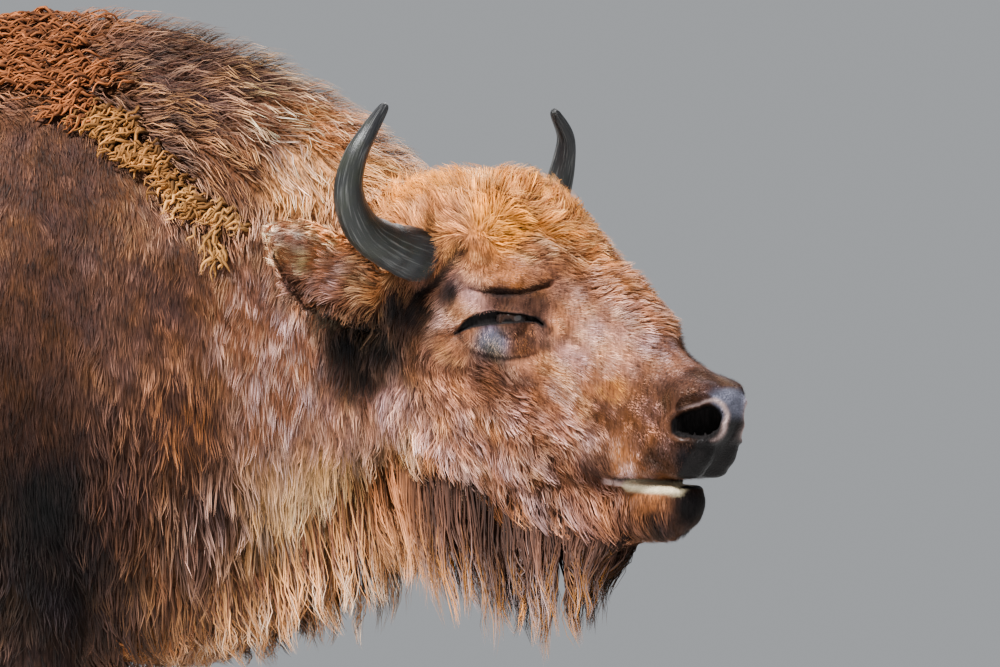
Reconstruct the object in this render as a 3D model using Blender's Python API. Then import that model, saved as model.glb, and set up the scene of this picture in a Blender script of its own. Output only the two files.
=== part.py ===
"""A standing wisent, Bison bonasus, as a life-size still model: an adult bull, 1.80 m at the withers.

It faces +X and stands on z = 0, with its head turned a little to its right, towards -Y. Flesh and coat
are modelled as one body from lofts and muscle masses, fused by a voxel remesh, and then parted with thin
cuts into the pieces that a person would name. The surfaces are those of the coat, out to the tips of the
hair. The tables describe the straight animal, and turned() then bends its neck.
"""

import math

import bmesh
import bpy
import numpy as np
from mathutils import Matrix, Vector

GAP = 0.0004  # between neighbouring pieces
TORSO_VOXEL, VOXEL = 0.015, 0.009  # of the torso before it is fused with the rest, and of the whole
SIDES = (("right", -1), ("left", 1))

# The neck turns between these two places along the body, by this angle to the animal's right.
TURN_START, TURN_END = 0.80, 1.22
HEAD_TURN = math.radians(19)

# The head's own frame starts midway between the horn bases. Its long axis points down by HEAD_SLOPE.
HEAD_X, HEAD_Z = 1.26, 1.402
HEAD_SLOPE = math.radians(40)

# Where the body is parted along its length, and the mouth: its height, its corner and how far the lips part.
NECK_FROM, HEAD_FROM = 0.86, 1.125
JAW_BACK, MOUTH = HEAD_X - 0.07, HEAD_Z - 0.3625
MOUTH_CORNER, LIPS_FRONT, LIPS_APART = HEAD_X + 0.31, HEAD_X + 0.60, 0.030

# How far the limbs stand out from the midline, how far forward of the tables each foot is set in a steady
# stance, and where the leg's hair ends and the claws begin.
FORE_OUT, HIND_OUT = 0.185, 0.165
STEP = {"front_right": 0.035, "front_left": -0.045, "hind_right": -0.055, "hind_left": 0.055}
SOLE_TOP = 0.072

COAT = (0.26, 0.13, 0.065)
COAT_DARK = (0.10, 0.05, 0.028)
HORN_GREY = (0.10, 0.105, 0.11)
HOOF_BLACK = (0.035, 0.03, 0.028)
EYE_DARK = (0.02, 0.012, 0.01)

for old in list(bpy.data.objects):
    bpy.data.objects.remove(old, do_unlink=True)


# Places: a point in the tables, the same point on the head, and the turn of the neck


def head_point(forward, left, up):
    """A point given level from the midpoint between the horn bases."""
    return Vector((HEAD_X + forward, left, HEAD_Z + up))


def face_point(down_face, left, out_of_face):
    """A point given along the head's long axis, from the horns (0) to the muzzle (0.57)."""
    forward = down_face * math.cos(HEAD_SLOPE) + out_of_face * math.sin(HEAD_SLOPE)
    up = out_of_face * math.cos(HEAD_SLOPE) - down_face * math.sin(HEAD_SLOPE)
    return head_point(forward, left, up)


def turned(point):
    """Where a point of the straight animal goes when the neck turns."""
    radius = (TURN_END - TURN_START) / HEAD_TURN
    share = min(max((point[0] - TURN_START) / (TURN_END - TURN_START), 0), 1)
    angle = HEAD_TURN * share
    past = point[0] - TURN_START - share * (TURN_END - TURN_START)
    x = TURN_START + radius * math.sin(angle) + past * math.cos(angle)
    y = -radius * (1 - math.cos(angle)) - past * math.sin(angle)
    return Vector((x + point[1] * math.sin(angle), y + point[1] * math.cos(angle), point[2]))


def turn(mesh):
    for vertex in mesh.vertices:
        vertex.co = turned(vertex.co)


# Making and joining shapes


def finished(name, colour, roughness, mesh):
    """A node of the model: a named object with its own material, shaded smooth between its sharp edges."""
    material = bpy.data.materials.new(name)
    material.use_nodes = True
    shader = material.node_tree.nodes["Principled BSDF"]
    shader.inputs["Base Color"].default_value = (*colour, 1)
    shader.inputs["Roughness"].default_value = roughness
    shader.inputs["Metallic"].default_value = 0
    material.diffuse_color = (*colour, 1)
    mesh.materials.clear()
    mesh.materials.append(material)
    mesh.shade_smooth()
    mesh.set_sharp_from_angle(angle=math.radians(50))
    obj = bpy.data.objects.new(name, mesh)
    bpy.context.scene.collection.objects.link(obj)
    return obj


def helper(mesh):
    """An object that only serves to shape others."""
    obj = bpy.data.objects.new("helper", mesh)
    obj.hide_render = True
    obj.display_type = "WIRE"
    bpy.context.scene.collection.objects.link(obj)
    return obj


def evaluated(mesh, *modifiers):
    """The mesh after some modifiers, each (type, settings)."""
    obj = helper(mesh)
    for kind, settings in modifiers:
        modifier = obj.modifiers.new(kind.title(), kind)
        for name, value in settings.items():
            setattr(modifier, name, value)
    bpy.context.view_layer.update()
    made = bpy.data.meshes.new_from_object(obj.evaluated_get(bpy.context.evaluated_depsgraph_get()))
    bpy.data.objects.remove(obj)
    return made


def largest(mesh):
    """The mesh without the small loose bits that a cut can leave."""
    shape = bmesh.new()
    shape.from_mesh(mesh)
    left = set(shape.verts)
    groups = []
    while left:
        front = [left.pop()]
        group = set(front)
        while front:
            vertex = front.pop()
            for edge in vertex.link_edges:
                other = edge.other_vert(vertex)
                if other not in group:
                    group.add(other)
                    front.append(other)
        left -= group
        groups.append(group)
    keep = max(groups, key=len)
    bmesh.ops.delete(shape, geom=[v for v in shape.verts if v not in keep], context="VERTS")
    shape.to_mesh(mesh)
    shape.free()
    return mesh


def cut(mesh, *cutters, keep_inside=False):
    """The mesh without what lies in the cutters, or with only that."""
    operation = "INTERSECT" if keep_inside else "DIFFERENCE"
    objects = [helper(cutter) for cutter in cutters]
    steps = [("BOOLEAN", {"operation": operation, "object": obj, "solver": "EXACT"}) for obj in objects]
    made = evaluated(mesh, *steps)
    for obj in objects:
        bpy.data.objects.remove(obj)
    return largest(made)


def grown(mesh, by):
    """The mesh moved outwards, as a cutter that leaves a gap."""
    return evaluated(mesh, ("DISPLACE", {"strength": by, "mid_level": 0.0}))


def thinned(mesh, triangles):
    """The mesh with about this many triangles."""
    mesh.calc_loop_triangles()
    ratio = triangles / len(mesh.loop_triangles)
    return evaluated(mesh, ("DECIMATE", {"ratio": ratio, "use_collapse_triangulate": True}))


def loft(rings):
    """A closed skin over rings of points, with a fan at either end."""
    shape = bmesh.new()
    rows = [[shape.verts.new(point) for point in ring] for ring in rings]
    count = len(rows[0])
    for first, second in zip(rows, rows[1:]):
        for k in range(count):
            after = (k + 1) % count
            shape.faces.new((first[k], first[after], second[after], second[k]))
    for row, order in ((rows[0], -1), (rows[-1], 1)):
        middle = shape.verts.new(sum((v.co for v in row), Vector()) / count)
        for k in range(count):
            pair = (row[k], row[(k + 1) % count])[::order]
            shape.faces.new((*pair, middle))
    bmesh.ops.recalc_face_normals(shape, faces=shape.faces)
    mesh = bpy.data.meshes.new("loft")
    shape.to_mesh(mesh)
    shape.free()
    return mesh


def smooth_rows(rows, steps):
    """Rows of numbers with a smooth curve's rows between them."""
    rows = np.array(rows, float)
    padded = np.vstack([2 * rows[0] - rows[1], rows, 2 * rows[-1] - rows[-2]])
    made = []
    for k in range(len(rows) - 1):
        p, q, r, s = padded[k : k + 4]
        for t in np.arange(steps) / steps:
            curve = 2 * q + (r - p) * t + (2 * p - 5 * q + 4 * r - s) * t**2 + (3 * q - p - 3 * r + s) * t**3
            made.append(curve / 2)
    return np.array([*made, rows[-1]])


def oval(top, bottom, half_width, widest, peak, keel, points=32):
    """A ring between a top and a bottom point on the midline. widest is the height share of its broadest
    place. peak and keel are superellipse powers: 2 is round, less is pointed, more is square."""
    centre = bottom + (top - bottom) * widest
    ring = []
    for angle in np.arange(points) * 2 * math.pi / points:
        across, along = math.cos(angle), math.sin(angle)
        power = 2 / (peak if along >= 0 else keel)
        reach = (top if along >= 0 else bottom) - centre
        side = Vector((0, math.copysign(abs(across) ** power, across) * half_width, 0))
        ring.append(centre + reach * abs(along) ** power + side)
    return ring


def ellipsoid(centre, radii, lean=0.0, spread=0.0, detail=3):
    """An ellipsoid with radii along forward, left and up, leant about the left axis, then turned about up."""
    shape = bmesh.new()
    bmesh.ops.create_icosphere(shape, subdivisions=detail, radius=1)
    spin = Matrix.Rotation(spread, 3, "Z") @ Matrix.Rotation(lean, 3, "Y")
    for vertex in shape.verts:
        vertex.co = Vector(centre) + spin @ Vector(c * r for c, r in zip(vertex.co, radii))
    mesh = bpy.data.meshes.new("ellipsoid")
    shape.to_mesh(mesh)
    shape.free()
    return mesh


def tube(path, radii, points):
    """A round rod along a smooth path that nowhere runs along the body."""
    rows = smooth_rows([(*place, radius) for place, radius in zip(path, radii)], 2)
    places = [Vector(row[:3]) for row in rows]
    rings = []
    for k, place in enumerate(places):
        along = (places[min(k + 1, len(places) - 1)] - places[max(k - 1, 0)]).normalized()
        side = along.cross(Vector((1, 0, 0))).normalized()
        up = side.cross(along)
        radius = rows[k][3]
        turns = np.arange(points) * 2 * math.pi / points
        rings.append([place + (side * math.cos(t) + up * math.sin(t)) * radius for t in turns])
    return loft(rings)


def box(low, high):
    """A block between two corners of the straight animal. Its ends stay flat when the neck turns."""
    shape = bmesh.new()
    bmesh.ops.create_cube(shape, size=1)
    for vertex in shape.verts:
        vertex.co = Vector(a + (b - a) * (c + 0.5) for a, b, c in zip(low, high, vertex.co))
    mesh = bpy.data.meshes.new("box")
    shape.to_mesh(mesh)
    shape.free()
    turn(mesh)
    return mesh


# Trunk and neck: one loft along the spine. Each row holds the top point (x, z), the bottom point (x, z),
# half the width, the height share of the broadest place, and how square the top and bottom are.
SPINE = [
    (-0.985, 1.27, -0.975, 1.10, 0.050, 0.50, 2.0, 2.0),  # under the tail
    (-0.955, 1.41, -0.925, 1.00, 0.135, 0.50, 2.0, 2.0),  # point of the rump
    (-0.860, 1.525, -0.815, 0.95, 0.200, 0.58, 2.0, 2.0),  # croup
    (-0.690, 1.605, -0.650, 0.93, 0.250, 0.64, 2.1, 1.9),  # hips
    (-0.430, 1.625, -0.430, 0.885, 0.262, 0.54, 1.9, 2.0),  # loin
    (-0.150, 1.635, -0.150, 0.820, 0.312, 0.44, 1.8, 2.2),  # belly
    (0.100, 1.685, 0.100, 0.785, 0.335, 0.43, 1.7, 2.2),  # ribs
    (0.300, 1.760, 0.320, 0.765, 0.322, 0.43, 1.6, 2.1),  # girth
    (0.500, 1.807, 0.550, 0.740, 0.290, 0.43, 1.6, 2.0),  # withers, the hump's top
    (0.700, 1.800, 0.770, 0.745, 0.275, 0.45, 1.65, 1.9),  # front of the shoulder
    (0.860, 1.752, 0.930, 0.815, 0.246, 0.48, 1.8, 1.8),  # breast
    (1.000, 1.678, 1.040, 0.915, 0.215, 0.50, 1.9, 1.8),  # neck
    (1.130, 1.580, 1.110, 0.990, 0.184, 0.50, 2.0, 1.9),  # nape
    (1.230, 1.490, 1.170, 1.080, 0.150, 0.50, 2.0, 2.0),  # inside the head
]

# Head: one loft down the face. Each row holds the place along the face, the forehead side, the throat side,
# half the width, the height share of the broadest place, and how square the forehead and throat sides are.
FACE = [
    (-0.125, 0.060, -0.160, 0.110, 0.5, 2.0, 2.0),  # inside the nape
    (-0.087, 0.106, -0.230, 0.150, 0.55, 2.2, 2.0),  # back of the crest
    (-0.023, 0.160, -0.285, 0.168, 0.60, 2.3, 2.0),  # crest between the horns
    (0.045, 0.183, -0.310, 0.170, 0.63, 2.4, 2.0),  # mop of the forehead
    (0.115, 0.172, -0.330, 0.158, 0.66, 2.4, 2.0),  # forehead
    (0.190, 0.166, -0.330, 0.140, 0.66, 2.2, 2.0),  # between the eyes
    (0.275, 0.168, -0.310, 0.118, 0.60, 2.0, 2.1),  # cheeks
    (0.345, 0.163, -0.275, 0.100, 0.55, 2.0, 2.2),  # bridge of the nose
    (0.390, 0.140, -0.230, 0.088, 0.50, 2.1, 2.2),  # end of the long face hair
    (0.440, 0.143, -0.170, 0.080, 0.50, 2.3, 2.2),  # behind the nostrils
    (0.485, 0.149, -0.070, 0.076, 0.50, 2.4, 2.2),  # nostrils
    (0.515, 0.143, -0.020, 0.068, 0.50, 2.4, 2.3),  # nose pad
    (0.540, 0.112, 0.010, 0.050, 0.50, 2.2, 2.2),  # front of the muzzle
]

# Legs: level rings from the trunk to the coronet. Each row holds the height, the place along the body, half
# the width and half the depth.
FORELEG = [
    (1.140, 0.560, 0.088, 0.150),
    (0.950, 0.545, 0.095, 0.136),  # elbow
    (0.815, 0.552, 0.087, 0.115),
    (0.680, 0.562, 0.072, 0.087),  # forearm
    (0.570, 0.572, 0.058, 0.066),
    (0.495, 0.580, 0.057, 0.064),  # knee
    (0.435, 0.577, 0.050, 0.054),
    (0.360, 0.571, 0.041, 0.046),  # cannon
    (0.255, 0.571, 0.041, 0.046),
    (0.190, 0.571, 0.051, 0.059),  # fetlock
    (0.147, 0.581, 0.048, 0.055),
    (0.108, 0.597, 0.050, 0.055),  # pastern
    (0.072, 0.608, 0.056, 0.062),  # coronet
]
HINDLEG = [
    (1.220, -0.690, 0.105, 0.210),
    (1.030, -0.670, 0.112, 0.195),  # thigh
    (0.895, -0.665, 0.101, 0.155),  # stifle
    (0.780, -0.703, 0.081, 0.112),  # gaskin
    (0.670, -0.766, 0.062, 0.078),
    (0.592, -0.814, 0.054, 0.074),  # hock
    (0.515, -0.816, 0.049, 0.062),
    (0.410, -0.801, 0.042, 0.049),  # cannon
    (0.285, -0.792, 0.042, 0.048),
    (0.195, -0.786, 0.051, 0.059),  # fetlock
    (0.147, -0.772, 0.047, 0.054),
    (0.108, -0.757, 0.049, 0.054),  # pastern
    (0.072, -0.745, 0.055, 0.060),  # coronet
]
HOCK = (-0.871, 0.637)
LEGS = [
    (f"{end}_{side_name}", rows, out, side)
    for end, rows, out in (("front", FORELEG, FORE_OUT), ("hind", HINDLEG, HIND_OUT))
    for side_name, side in SIDES
]


def foot_shift(name, height):
    """How far a leg has swung forward at a height: nothing at the elbow or stifle, all at the ground."""
    share = min(max((0.97 - height) / 0.90, 0), 1)
    return STEP[name] * share


def limb(name, rows, out, side):
    rings = []
    for height, along, half_width, half_depth in smooth_rows(rows, 4):
        turns = np.arange(20) * 2 * math.pi / 20
        centre = Vector((along + foot_shift(name, height), side * out, height))
        rings.append([centre + Vector((math.cos(t) * half_depth, math.sin(t) * half_width, 0)) for t in turns])
    return loft(rings)


def trunk_and_neck():
    rings = []
    for row in smooth_rows(SPINE, 4):
        top, bottom = Vector((row[0], 0, row[1])), Vector((row[2], 0, row[3]))
        rings.append(oval(top, bottom, *row[4:]))
    return loft(rings)


def face():
    rings = []
    for row in smooth_rows(FACE, 5):
        rings.append(oval(face_point(row[0], 0, row[1]), face_point(row[0], 0, row[2]), *row[3:]))
    return loft(rings)


def torso_masses():
    """Muscle under the coat, in pairs, that the loft doesn't give."""
    for _, side in SIDES:
        yield ellipsoid((0.50, side * 0.165, 1.24), (0.205, 0.142, 0.39), lean=0.15)  # shoulder blade
        yield ellipsoid((0.66, side * 0.150, 1.05), (0.165, 0.127, 0.185), lean=-0.4)  # point of the shoulder
        yield ellipsoid((-0.70, side * 0.130, 1.215), (0.245, 0.132, 0.33), lean=-0.12)  # haunch
        yield ellipsoid((-0.62, side * 0.150, 0.99), (0.145, 0.107, 0.175))  # stifle
        yield ellipsoid((0.93, side * 0.105, 1.18), (0.215, 0.122, 0.25), lean=0.5)  # side of the neck
    yield ellipsoid((-0.20, 0, 0.81), (0.13, 0.040, 0.055), lean=-0.08)  # sheath and its tuft


def head_masses():
    """Bone and flesh of the head, in pairs, and then the jaw."""
    for _, side in SIDES:
        yield ellipsoid(face_point(0.165, side * 0.098, 0.055), (0.062, 0.046, 0.040), lean=0.6)  # brow
        yield ellipsoid(face_point(0.215, side * 0.100, -0.020), (0.075, 0.038, 0.042), lean=0.7)  # cheekbone
        yield ellipsoid(face_point(0.150, side * 0.052, -0.150), (0.165, 0.088, 0.165), lean=0.7)  # jowl
        yield ellipsoid(face_point(0.300, side * 0.066, -0.090), (0.115, 0.040, 0.085), lean=0.7)  # cheek
        yield ellipsoid(face_point(0.480, side * 0.044, 0.100), (0.052, 0.040, 0.046), lean=0.7)  # nose wing
        yield ellipsoid(face_point(0.500, side * 0.034, 0.035), (0.056, 0.040, 0.054), lean=0.7)  # upper lip
        yield ellipsoid(face_point(0.012, side * 0.130, -0.005), (0.048, 0.050, 0.046))  # horn's root
    yield ellipsoid(head_point(0.340, 0, -0.400), (0.088, 0.052, 0.046), lean=-0.05)  # lower lip and chin
    yield ellipsoid(head_point(0.190, 0, -0.385), (0.155, 0.088, 0.074), lean=0.05)  # lower jaw


def fused(shapes, voxel, smoothing):
    """One skin round all the shapes."""
    whole = bmesh.new()
    for shape in shapes:
        whole.from_mesh(shape)
    mesh = bpy.data.meshes.new("fused")
    whole.to_mesh(mesh)
    whole.free()
    remesh = ("REMESH", {"mode": "VOXEL", "voxel_size": voxel})
    return evaluated(mesh, remesh, ("SMOOTH", {"factor": 0.5, "iterations": smoothing}))


def hock_point(name, side):
    """The heel bone that stands out behind the hock."""
    along, height = HOCK
    centre = (along + foot_shift(name, height), side * HIND_OUT, height)
    return ellipsoid(centre, (0.036, 0.030, 0.060), lean=0.45)


torso = fused([trunk_and_neck(), *torso_masses()], TORSO_VOXEL, 24)
body_shapes = [torso, face(), *head_masses()]
body_shapes += [limb(*leg) for leg in LEGS]
body_shapes += [hock_point(name, side) for name, _, _, side in LEGS if name.startswith("hind")]
body = fused(body_shapes, VOXEL, 8)
turn(body)

# Parting the body. A piece is cut with OVERSIZE to spare, thinned, and then cut to its planes. A leg's block
# of space runs from a place inside it out to FAR, between two places along the body, and up to a height.
FAR = 2.5
OVERSIZE = 0.03
LEG_BLOCKS = {"front": (0.09, 0.40, 0.74, 0.742), "hind": (0.03, -1.2, -0.45, 0.88)}


def leg_block(name, side, spare):
    inside, back, front, top = LEG_BLOCKS[name.split("_")[0]]
    low, high = sorted((side * (inside - spare), side * FAR))
    return box((back - spare, low, SOLE_TOP - spare), (front + spare, high, top + spare))


def prism(outline, half_width):
    """A side-view outline on the head, as (x, z) points, made a block across it."""
    shape = bmesh.new()
    rows = [[shape.verts.new((x, y, z)) for x, z in outline] for y in (-half_width, half_width)]
    count = len(outline)
    for k in range(count):
        after = (k + 1) % count
        shape.faces.new((rows[0][k], rows[0][after], rows[1][after], rows[1][k]))
    shape.faces.new(rows[0][::-1])
    shape.faces.new(rows[1])
    bmesh.ops.recalc_face_normals(shape, faces=shape.faces)
    mesh = bpy.data.meshes.new("prism")
    shape.to_mesh(mesh)
    shape.free()
    turn(mesh)
    return mesh


def below_mouth(gap):
    """The space of the lower jaw. With a gap it leaves the upper lip, and the lips part towards the front."""
    apart = LIPS_APART if gap else 0
    back, under = JAW_BACK - gap, HEAD_Z - 0.9
    outline = [(back, MOUTH + gap), (MOUTH_CORNER, MOUTH + gap), (LIPS_FRONT, MOUTH + gap + apart)]
    return prism([*outline, (LIPS_FRONT, under), (back, under)], 0.4)


def roomy_part(triangles, near):
    """A piece of the body, cut roughly and thinned."""
    return thinned(cut(body, near, keep_inside=True), triangles)


def slab(start, end, spare):
    return box((start - spare, -FAR, 0.0), (end + spare, FAR, FAR))


roomy_trunk = roomy_part(1400, slab(-FAR, NECK_FROM, OVERSIZE))
roomy_neck = roomy_part(500, slab(NECK_FROM, HEAD_FROM, OVERSIZE))
roomy_head = roomy_part(2250, slab(HEAD_FROM, FAR, OVERSIZE))
trunk = cut(roomy_trunk, slab(-FAR, NECK_FROM, 0), keep_inside=True)
trunk = cut(trunk, *[leg_block(name, side, GAP) for name, _, _, side in LEGS])
neck = cut(roomy_neck, slab(NECK_FROM + GAP, HEAD_FROM - GAP, 0), keep_inside=True)
whole_head = cut(roomy_head, slab(HEAD_FROM, FAR, 0), keep_inside=True)
legs = {}
for leg_name, _, _, leg_side in LEGS:
    roomy_leg = roomy_part(280, leg_block(leg_name, leg_side, OVERSIZE))
    legs[leg_name] = cut(roomy_leg, leg_block(leg_name, leg_side, 0), keep_inside=True)

# Eyes: balls in sockets that open at the sides of the head
EYE_RADIUS = 0.0235
EYE = (0.192, 0.1235, 0.016)


def eyeball(side, spare):
    down, out, up = EYE
    return ellipsoid(turned(face_point(down, side * out, up)), [EYE_RADIUS + spare] * 3, detail=2)


# Nostrils: a comma-shaped hollow at each side of the nose pad, that opens forwards and outwards
NOSTRIL = (0.508, 0.064, 0.104)
NOSTRIL_RADII = (0.040, 0.026, 0.032)


def nostril(side):
    down, out, up = NOSTRIL
    place = face_point(down, side * out, up)
    hollow = ellipsoid(place, NOSTRIL_RADII, lean=0.1, spread=side * -0.6, detail=2)
    turn(hollow)
    return hollow


hollows = [nostril(side) for _, side in SIDES] + [eyeball(side, GAP) for _, side in SIDES]
whole_head = cut(whole_head, *hollows)
head = cut(whole_head, below_mouth(GAP))
lower_jaw = cut(whole_head, below_mouth(0), keep_inside=True)

finished("trunk", COAT, 0.9, trunk)
finished("neck", COAT, 0.9, neck)
finished("head", COAT, 0.9, head)
finished("lower_jaw", COAT_DARK, 0.9, lower_jaw)
for leg_name, mesh in legs.items():
    finished(f"leg_{leg_name}", COAT_DARK, 0.9, mesh)
for side_name, side in SIDES:
    finished(f"eye_{side_name}", EYE_DARK, 0.1, eyeball(side, 0))

# Horns: they leave the head sideways, sweep up and a little back, and turn in at the tips
HORN = [
    (0.004, 0.120, -0.006, 0.0450),
    (-0.002, 0.160, 0.001, 0.0420),
    (-0.018, 0.225, 0.018, 0.0345),
    (-0.029, 0.275, 0.046, 0.0305),
    (-0.028, 0.311, 0.094, 0.0275),
    (-0.018, 0.315, 0.145, 0.0240),
    (-0.003, 0.297, 0.188, 0.0185),
    (0.004, 0.262, 0.222, 0.0105),
    (0.006, 0.252, 0.229, 0.0050),
]
by_head, by_neck, by_trunk = [grown(mesh, GAP) for mesh in (roomy_head, roomy_neck, roomy_trunk)]


def horn(side):
    path = [head_point(forward, side * out, up) for forward, out, up, _ in HORN]
    mesh = tube(path, [row[3] for row in HORN], points=10)
    turn(mesh)
    return cut(mesh, by_head)


for side_name, side in SIDES:
    finished(f"horn_{side_name}", HORN_GREY, 0.4, horn(side))

# Ears: leaf-shaped cups that stand out behind the horns, open forwards and down
EAR_ROOT, EAR_TIP = (-0.030, 0.125, -0.115), (-0.190, 0.350, 0.040)
EAR_OPENING = (0.75, 0.25, -0.45)
EAR_HALF_WIDTH, EAR_HALF_THICKNESS, EAR_BOW, EAR_CUP = 0.076, 0.016, 0.030, 0.030
EAR_OUTLINE = [(0.0, 0.42), (0.15, 0.60), (0.35, 0.92), (0.55, 1.0), (0.75, 0.84), (0.90, 0.50), (1.0, 0.14)]


def ear(side):
    root = head_point(EAR_ROOT[0], side * EAR_ROOT[1], EAR_ROOT[2])
    tip = head_point(EAR_TIP[0], side * EAR_TIP[1], EAR_TIP[2])
    along = (tip - root).normalized()
    opening = Vector((EAR_OPENING[0], side * EAR_OPENING[1], EAR_OPENING[2]))
    facing = (opening - along * along.dot(opening)).normalized()
    across = along.cross(facing)
    rings = []
    for share, width in EAR_OUTLINE:
        centre = root.lerp(tip, share) - facing * EAR_BOW * math.sin(share * math.pi)
        ring = []
        for angle in np.arange(12) * 2 * math.pi / 12:
            sideways, through = math.cos(angle), math.sin(angle)
            cup = EAR_CUP * width * sideways**2
            depth = through * EAR_HALF_THICKNESS * (0.5 + 0.5 * width) + cup
            ring.append(centre + across * sideways * EAR_HALF_WIDTH * width + facing * depth)
        rings.append(ring)
    mesh = loft(rings)
    turn(mesh)
    return cut(mesh, by_head, by_neck)


for side_name, side in SIDES:
    finished(f"ear_{side_name}", COAT, 0.9, ear(side))

# Beard and throat mane: curtains of long hair. Each row holds the place along the body, the bottom of the
# hair and half the thickness where it leaves the skin.
BEARD = [
    (HEAD_X - 0.110, HEAD_Z - 0.545, 0.030),
    (HEAD_X - 0.060, HEAD_Z - 0.595, 0.062),
    (HEAD_X + 0.024, HEAD_Z - 0.640, 0.078),
    (HEAD_X + 0.110, HEAD_Z - 0.665, 0.078),
    (HEAD_X + 0.185, HEAD_Z - 0.650, 0.068),
    (HEAD_X + 0.245, HEAD_Z - 0.610, 0.054),
    (HEAD_X + 0.285, HEAD_Z - 0.545, 0.036),
    (HEAD_X + 0.300, HEAD_Z - 0.470, 0.014),
]
THROAT_MANE = [
    (0.700, 0.745, 0.080),
    (0.780, 0.735, 0.105),
    (0.880, 0.750, 0.115),
    (0.970, 0.775, 0.105),
    (1.060, 0.790, 0.090),
    (1.120, 0.820, 0.070),
    (1.150, 0.880, 0.040),
]


def curtain(rows, root_height):
    """Hair that hangs from root_height and thins to its lower edge."""
    rings = []
    for along, bottom, half in smooth_rows(rows, 2):
        top = Vector((along, 0, root_height))
        rings.append(oval(top, Vector((along, 0, bottom)), half, 0.72, 2.0, 1.3, points=12))
    mesh = loft(rings)
    turn(mesh)
    return mesh


by_flesh = (by_head, by_neck, by_trunk)
roomy_beard = curtain(BEARD, HEAD_Z - 0.36)
beard = cut(roomy_beard, *by_flesh)
throat_mane = cut(curtain(THROAT_MANE, 1.02), *by_flesh, grown(roomy_beard, GAP))
finished("beard", COAT_DARK, 0.95, beard)
finished("throat_mane", COAT, 0.95, throat_mane)

# Tail: it hangs close behind the rump, and ends in a long tuft
# Each row holds the place along the body, the height and the radius.
TAIL = [
    (-0.900, 1.440, 0.048),
    (-0.965, 1.385, 0.046),
    (-1.006, 1.295, 0.040),
    (-1.024, 1.175, 0.033),
    (-1.030, 1.050, 0.031),
    (-1.028, 0.930, 0.033),
]
TAIL_TUFT = [
    (-1.028, 0.928, 0.035),
    (-1.026, 0.835, 0.050),
    (-1.022, 0.720, 0.048),
    (-1.017, 0.605, 0.031),
    (-1.013, 0.545, 0.008),
]


def hanging(rows):
    """A tube of level rings down a nearly upright path."""
    rings = []
    for along, height, radius in smooth_rows(rows, 2):
        turns = np.arange(9) * 2 * math.pi / 9
        rings.append([Vector((along + math.cos(t) * radius, math.sin(t) * radius, height)) for t in turns])
    return loft(rings)


tail_below = box((-1.2, -0.3, 0.4), (-0.9, 0.3, TAIL_TUFT[0][1] + GAP))
finished("tail", COAT, 0.9, cut(hanging(TAIL), grown(trunk, GAP), tail_below))
finished("tail_tuft", COAT_DARK, 0.95, hanging(TAIL_TUFT))

# Claws: two to a foot, with a flat sole, a sloping front wall and a cleft between them; and behind the
# fetlock the two small dewclaws, which stay off the ground
CLAW_LENGTH, CLAW_WIDTH, CLEFT = 0.148, 0.060, 0.006
CLAW_RINGS = [(0.0, 1.0, 0.0), (0.030, 0.97, -0.003), (SOLE_TOP - GAP, 0.80, -0.016)]


def claw(name, along, out, side, inner):
    """One claw: inner is 1 for the one nearer the midline, -1 for the outer one."""
    rings = []
    for height, share, back in CLAW_RINGS:
        ring = []
        for angle in np.arange(12) * 2 * math.pi / 12:
            lengthways, sideways = math.cos(angle), math.sin(angle)
            reach = CLAW_LENGTH / 2 * share * (1.12 if lengthways > 0 else 0.88)
            point_in = 0.30 * max(lengthways, 0) ** 2
            width = CLAW_WIDTH * share * abs(sideways) ** 0.8 * (1 - point_in)
            offset = (CLEFT / 2 + (width if sideways > 0 else 0)) * inner * -side
            ring.append(Vector((along + lengthways * reach + back, side * out + offset, height)))
        rings.append(ring)
    return loft(rings)


def dewclaw(along, height, across):
    return ellipsoid((along, across, height), (0.019, 0.015, 0.028), lean=0.5, detail=1)


for name, rows, out, side in LEGS:
    coronet = rows[-1]
    fetlock = next(row for row in rows if row[0] < 0.21)
    along = coronet[1] + foot_shift(name, 0)
    leg_cutter = grown(legs[name], GAP)
    for which, inner in (("inner", 1), ("outer", -1)):
        finished(f"claw_{name}_{which}", HOOF_BLACK, 0.5, claw(name, along, out, side, inner))
        back = fetlock[1] + foot_shift(name, fetlock[0]) - fetlock[3] + 0.006
        across = side * out - inner * side * 0.026
        spur = cut(dewclaw(back, 0.152, across), leg_cutter)
        finished(f"dewclaw_{name}_{which}", HOOF_BLACK, 0.5, spur)

# The origin is the middle of the standing animal's box, on the ground.
nodes = [obj for obj in bpy.data.objects if not obj.hide_render]
corners = np.array([vertex.co for obj in nodes for vertex in obj.data.vertices])
middle = (corners.max(axis=0) + corners.min(axis=0)) / 2
for obj in nodes:
    obj.data.transform(Matrix.Translation((-middle[0], -middle[1], 0)))
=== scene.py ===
import math

import bmesh
import bpy
import numpy as np
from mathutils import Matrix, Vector
from mathutils.bvhtree import BVHTree
from mathutils.kdtree import KDTree


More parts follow.
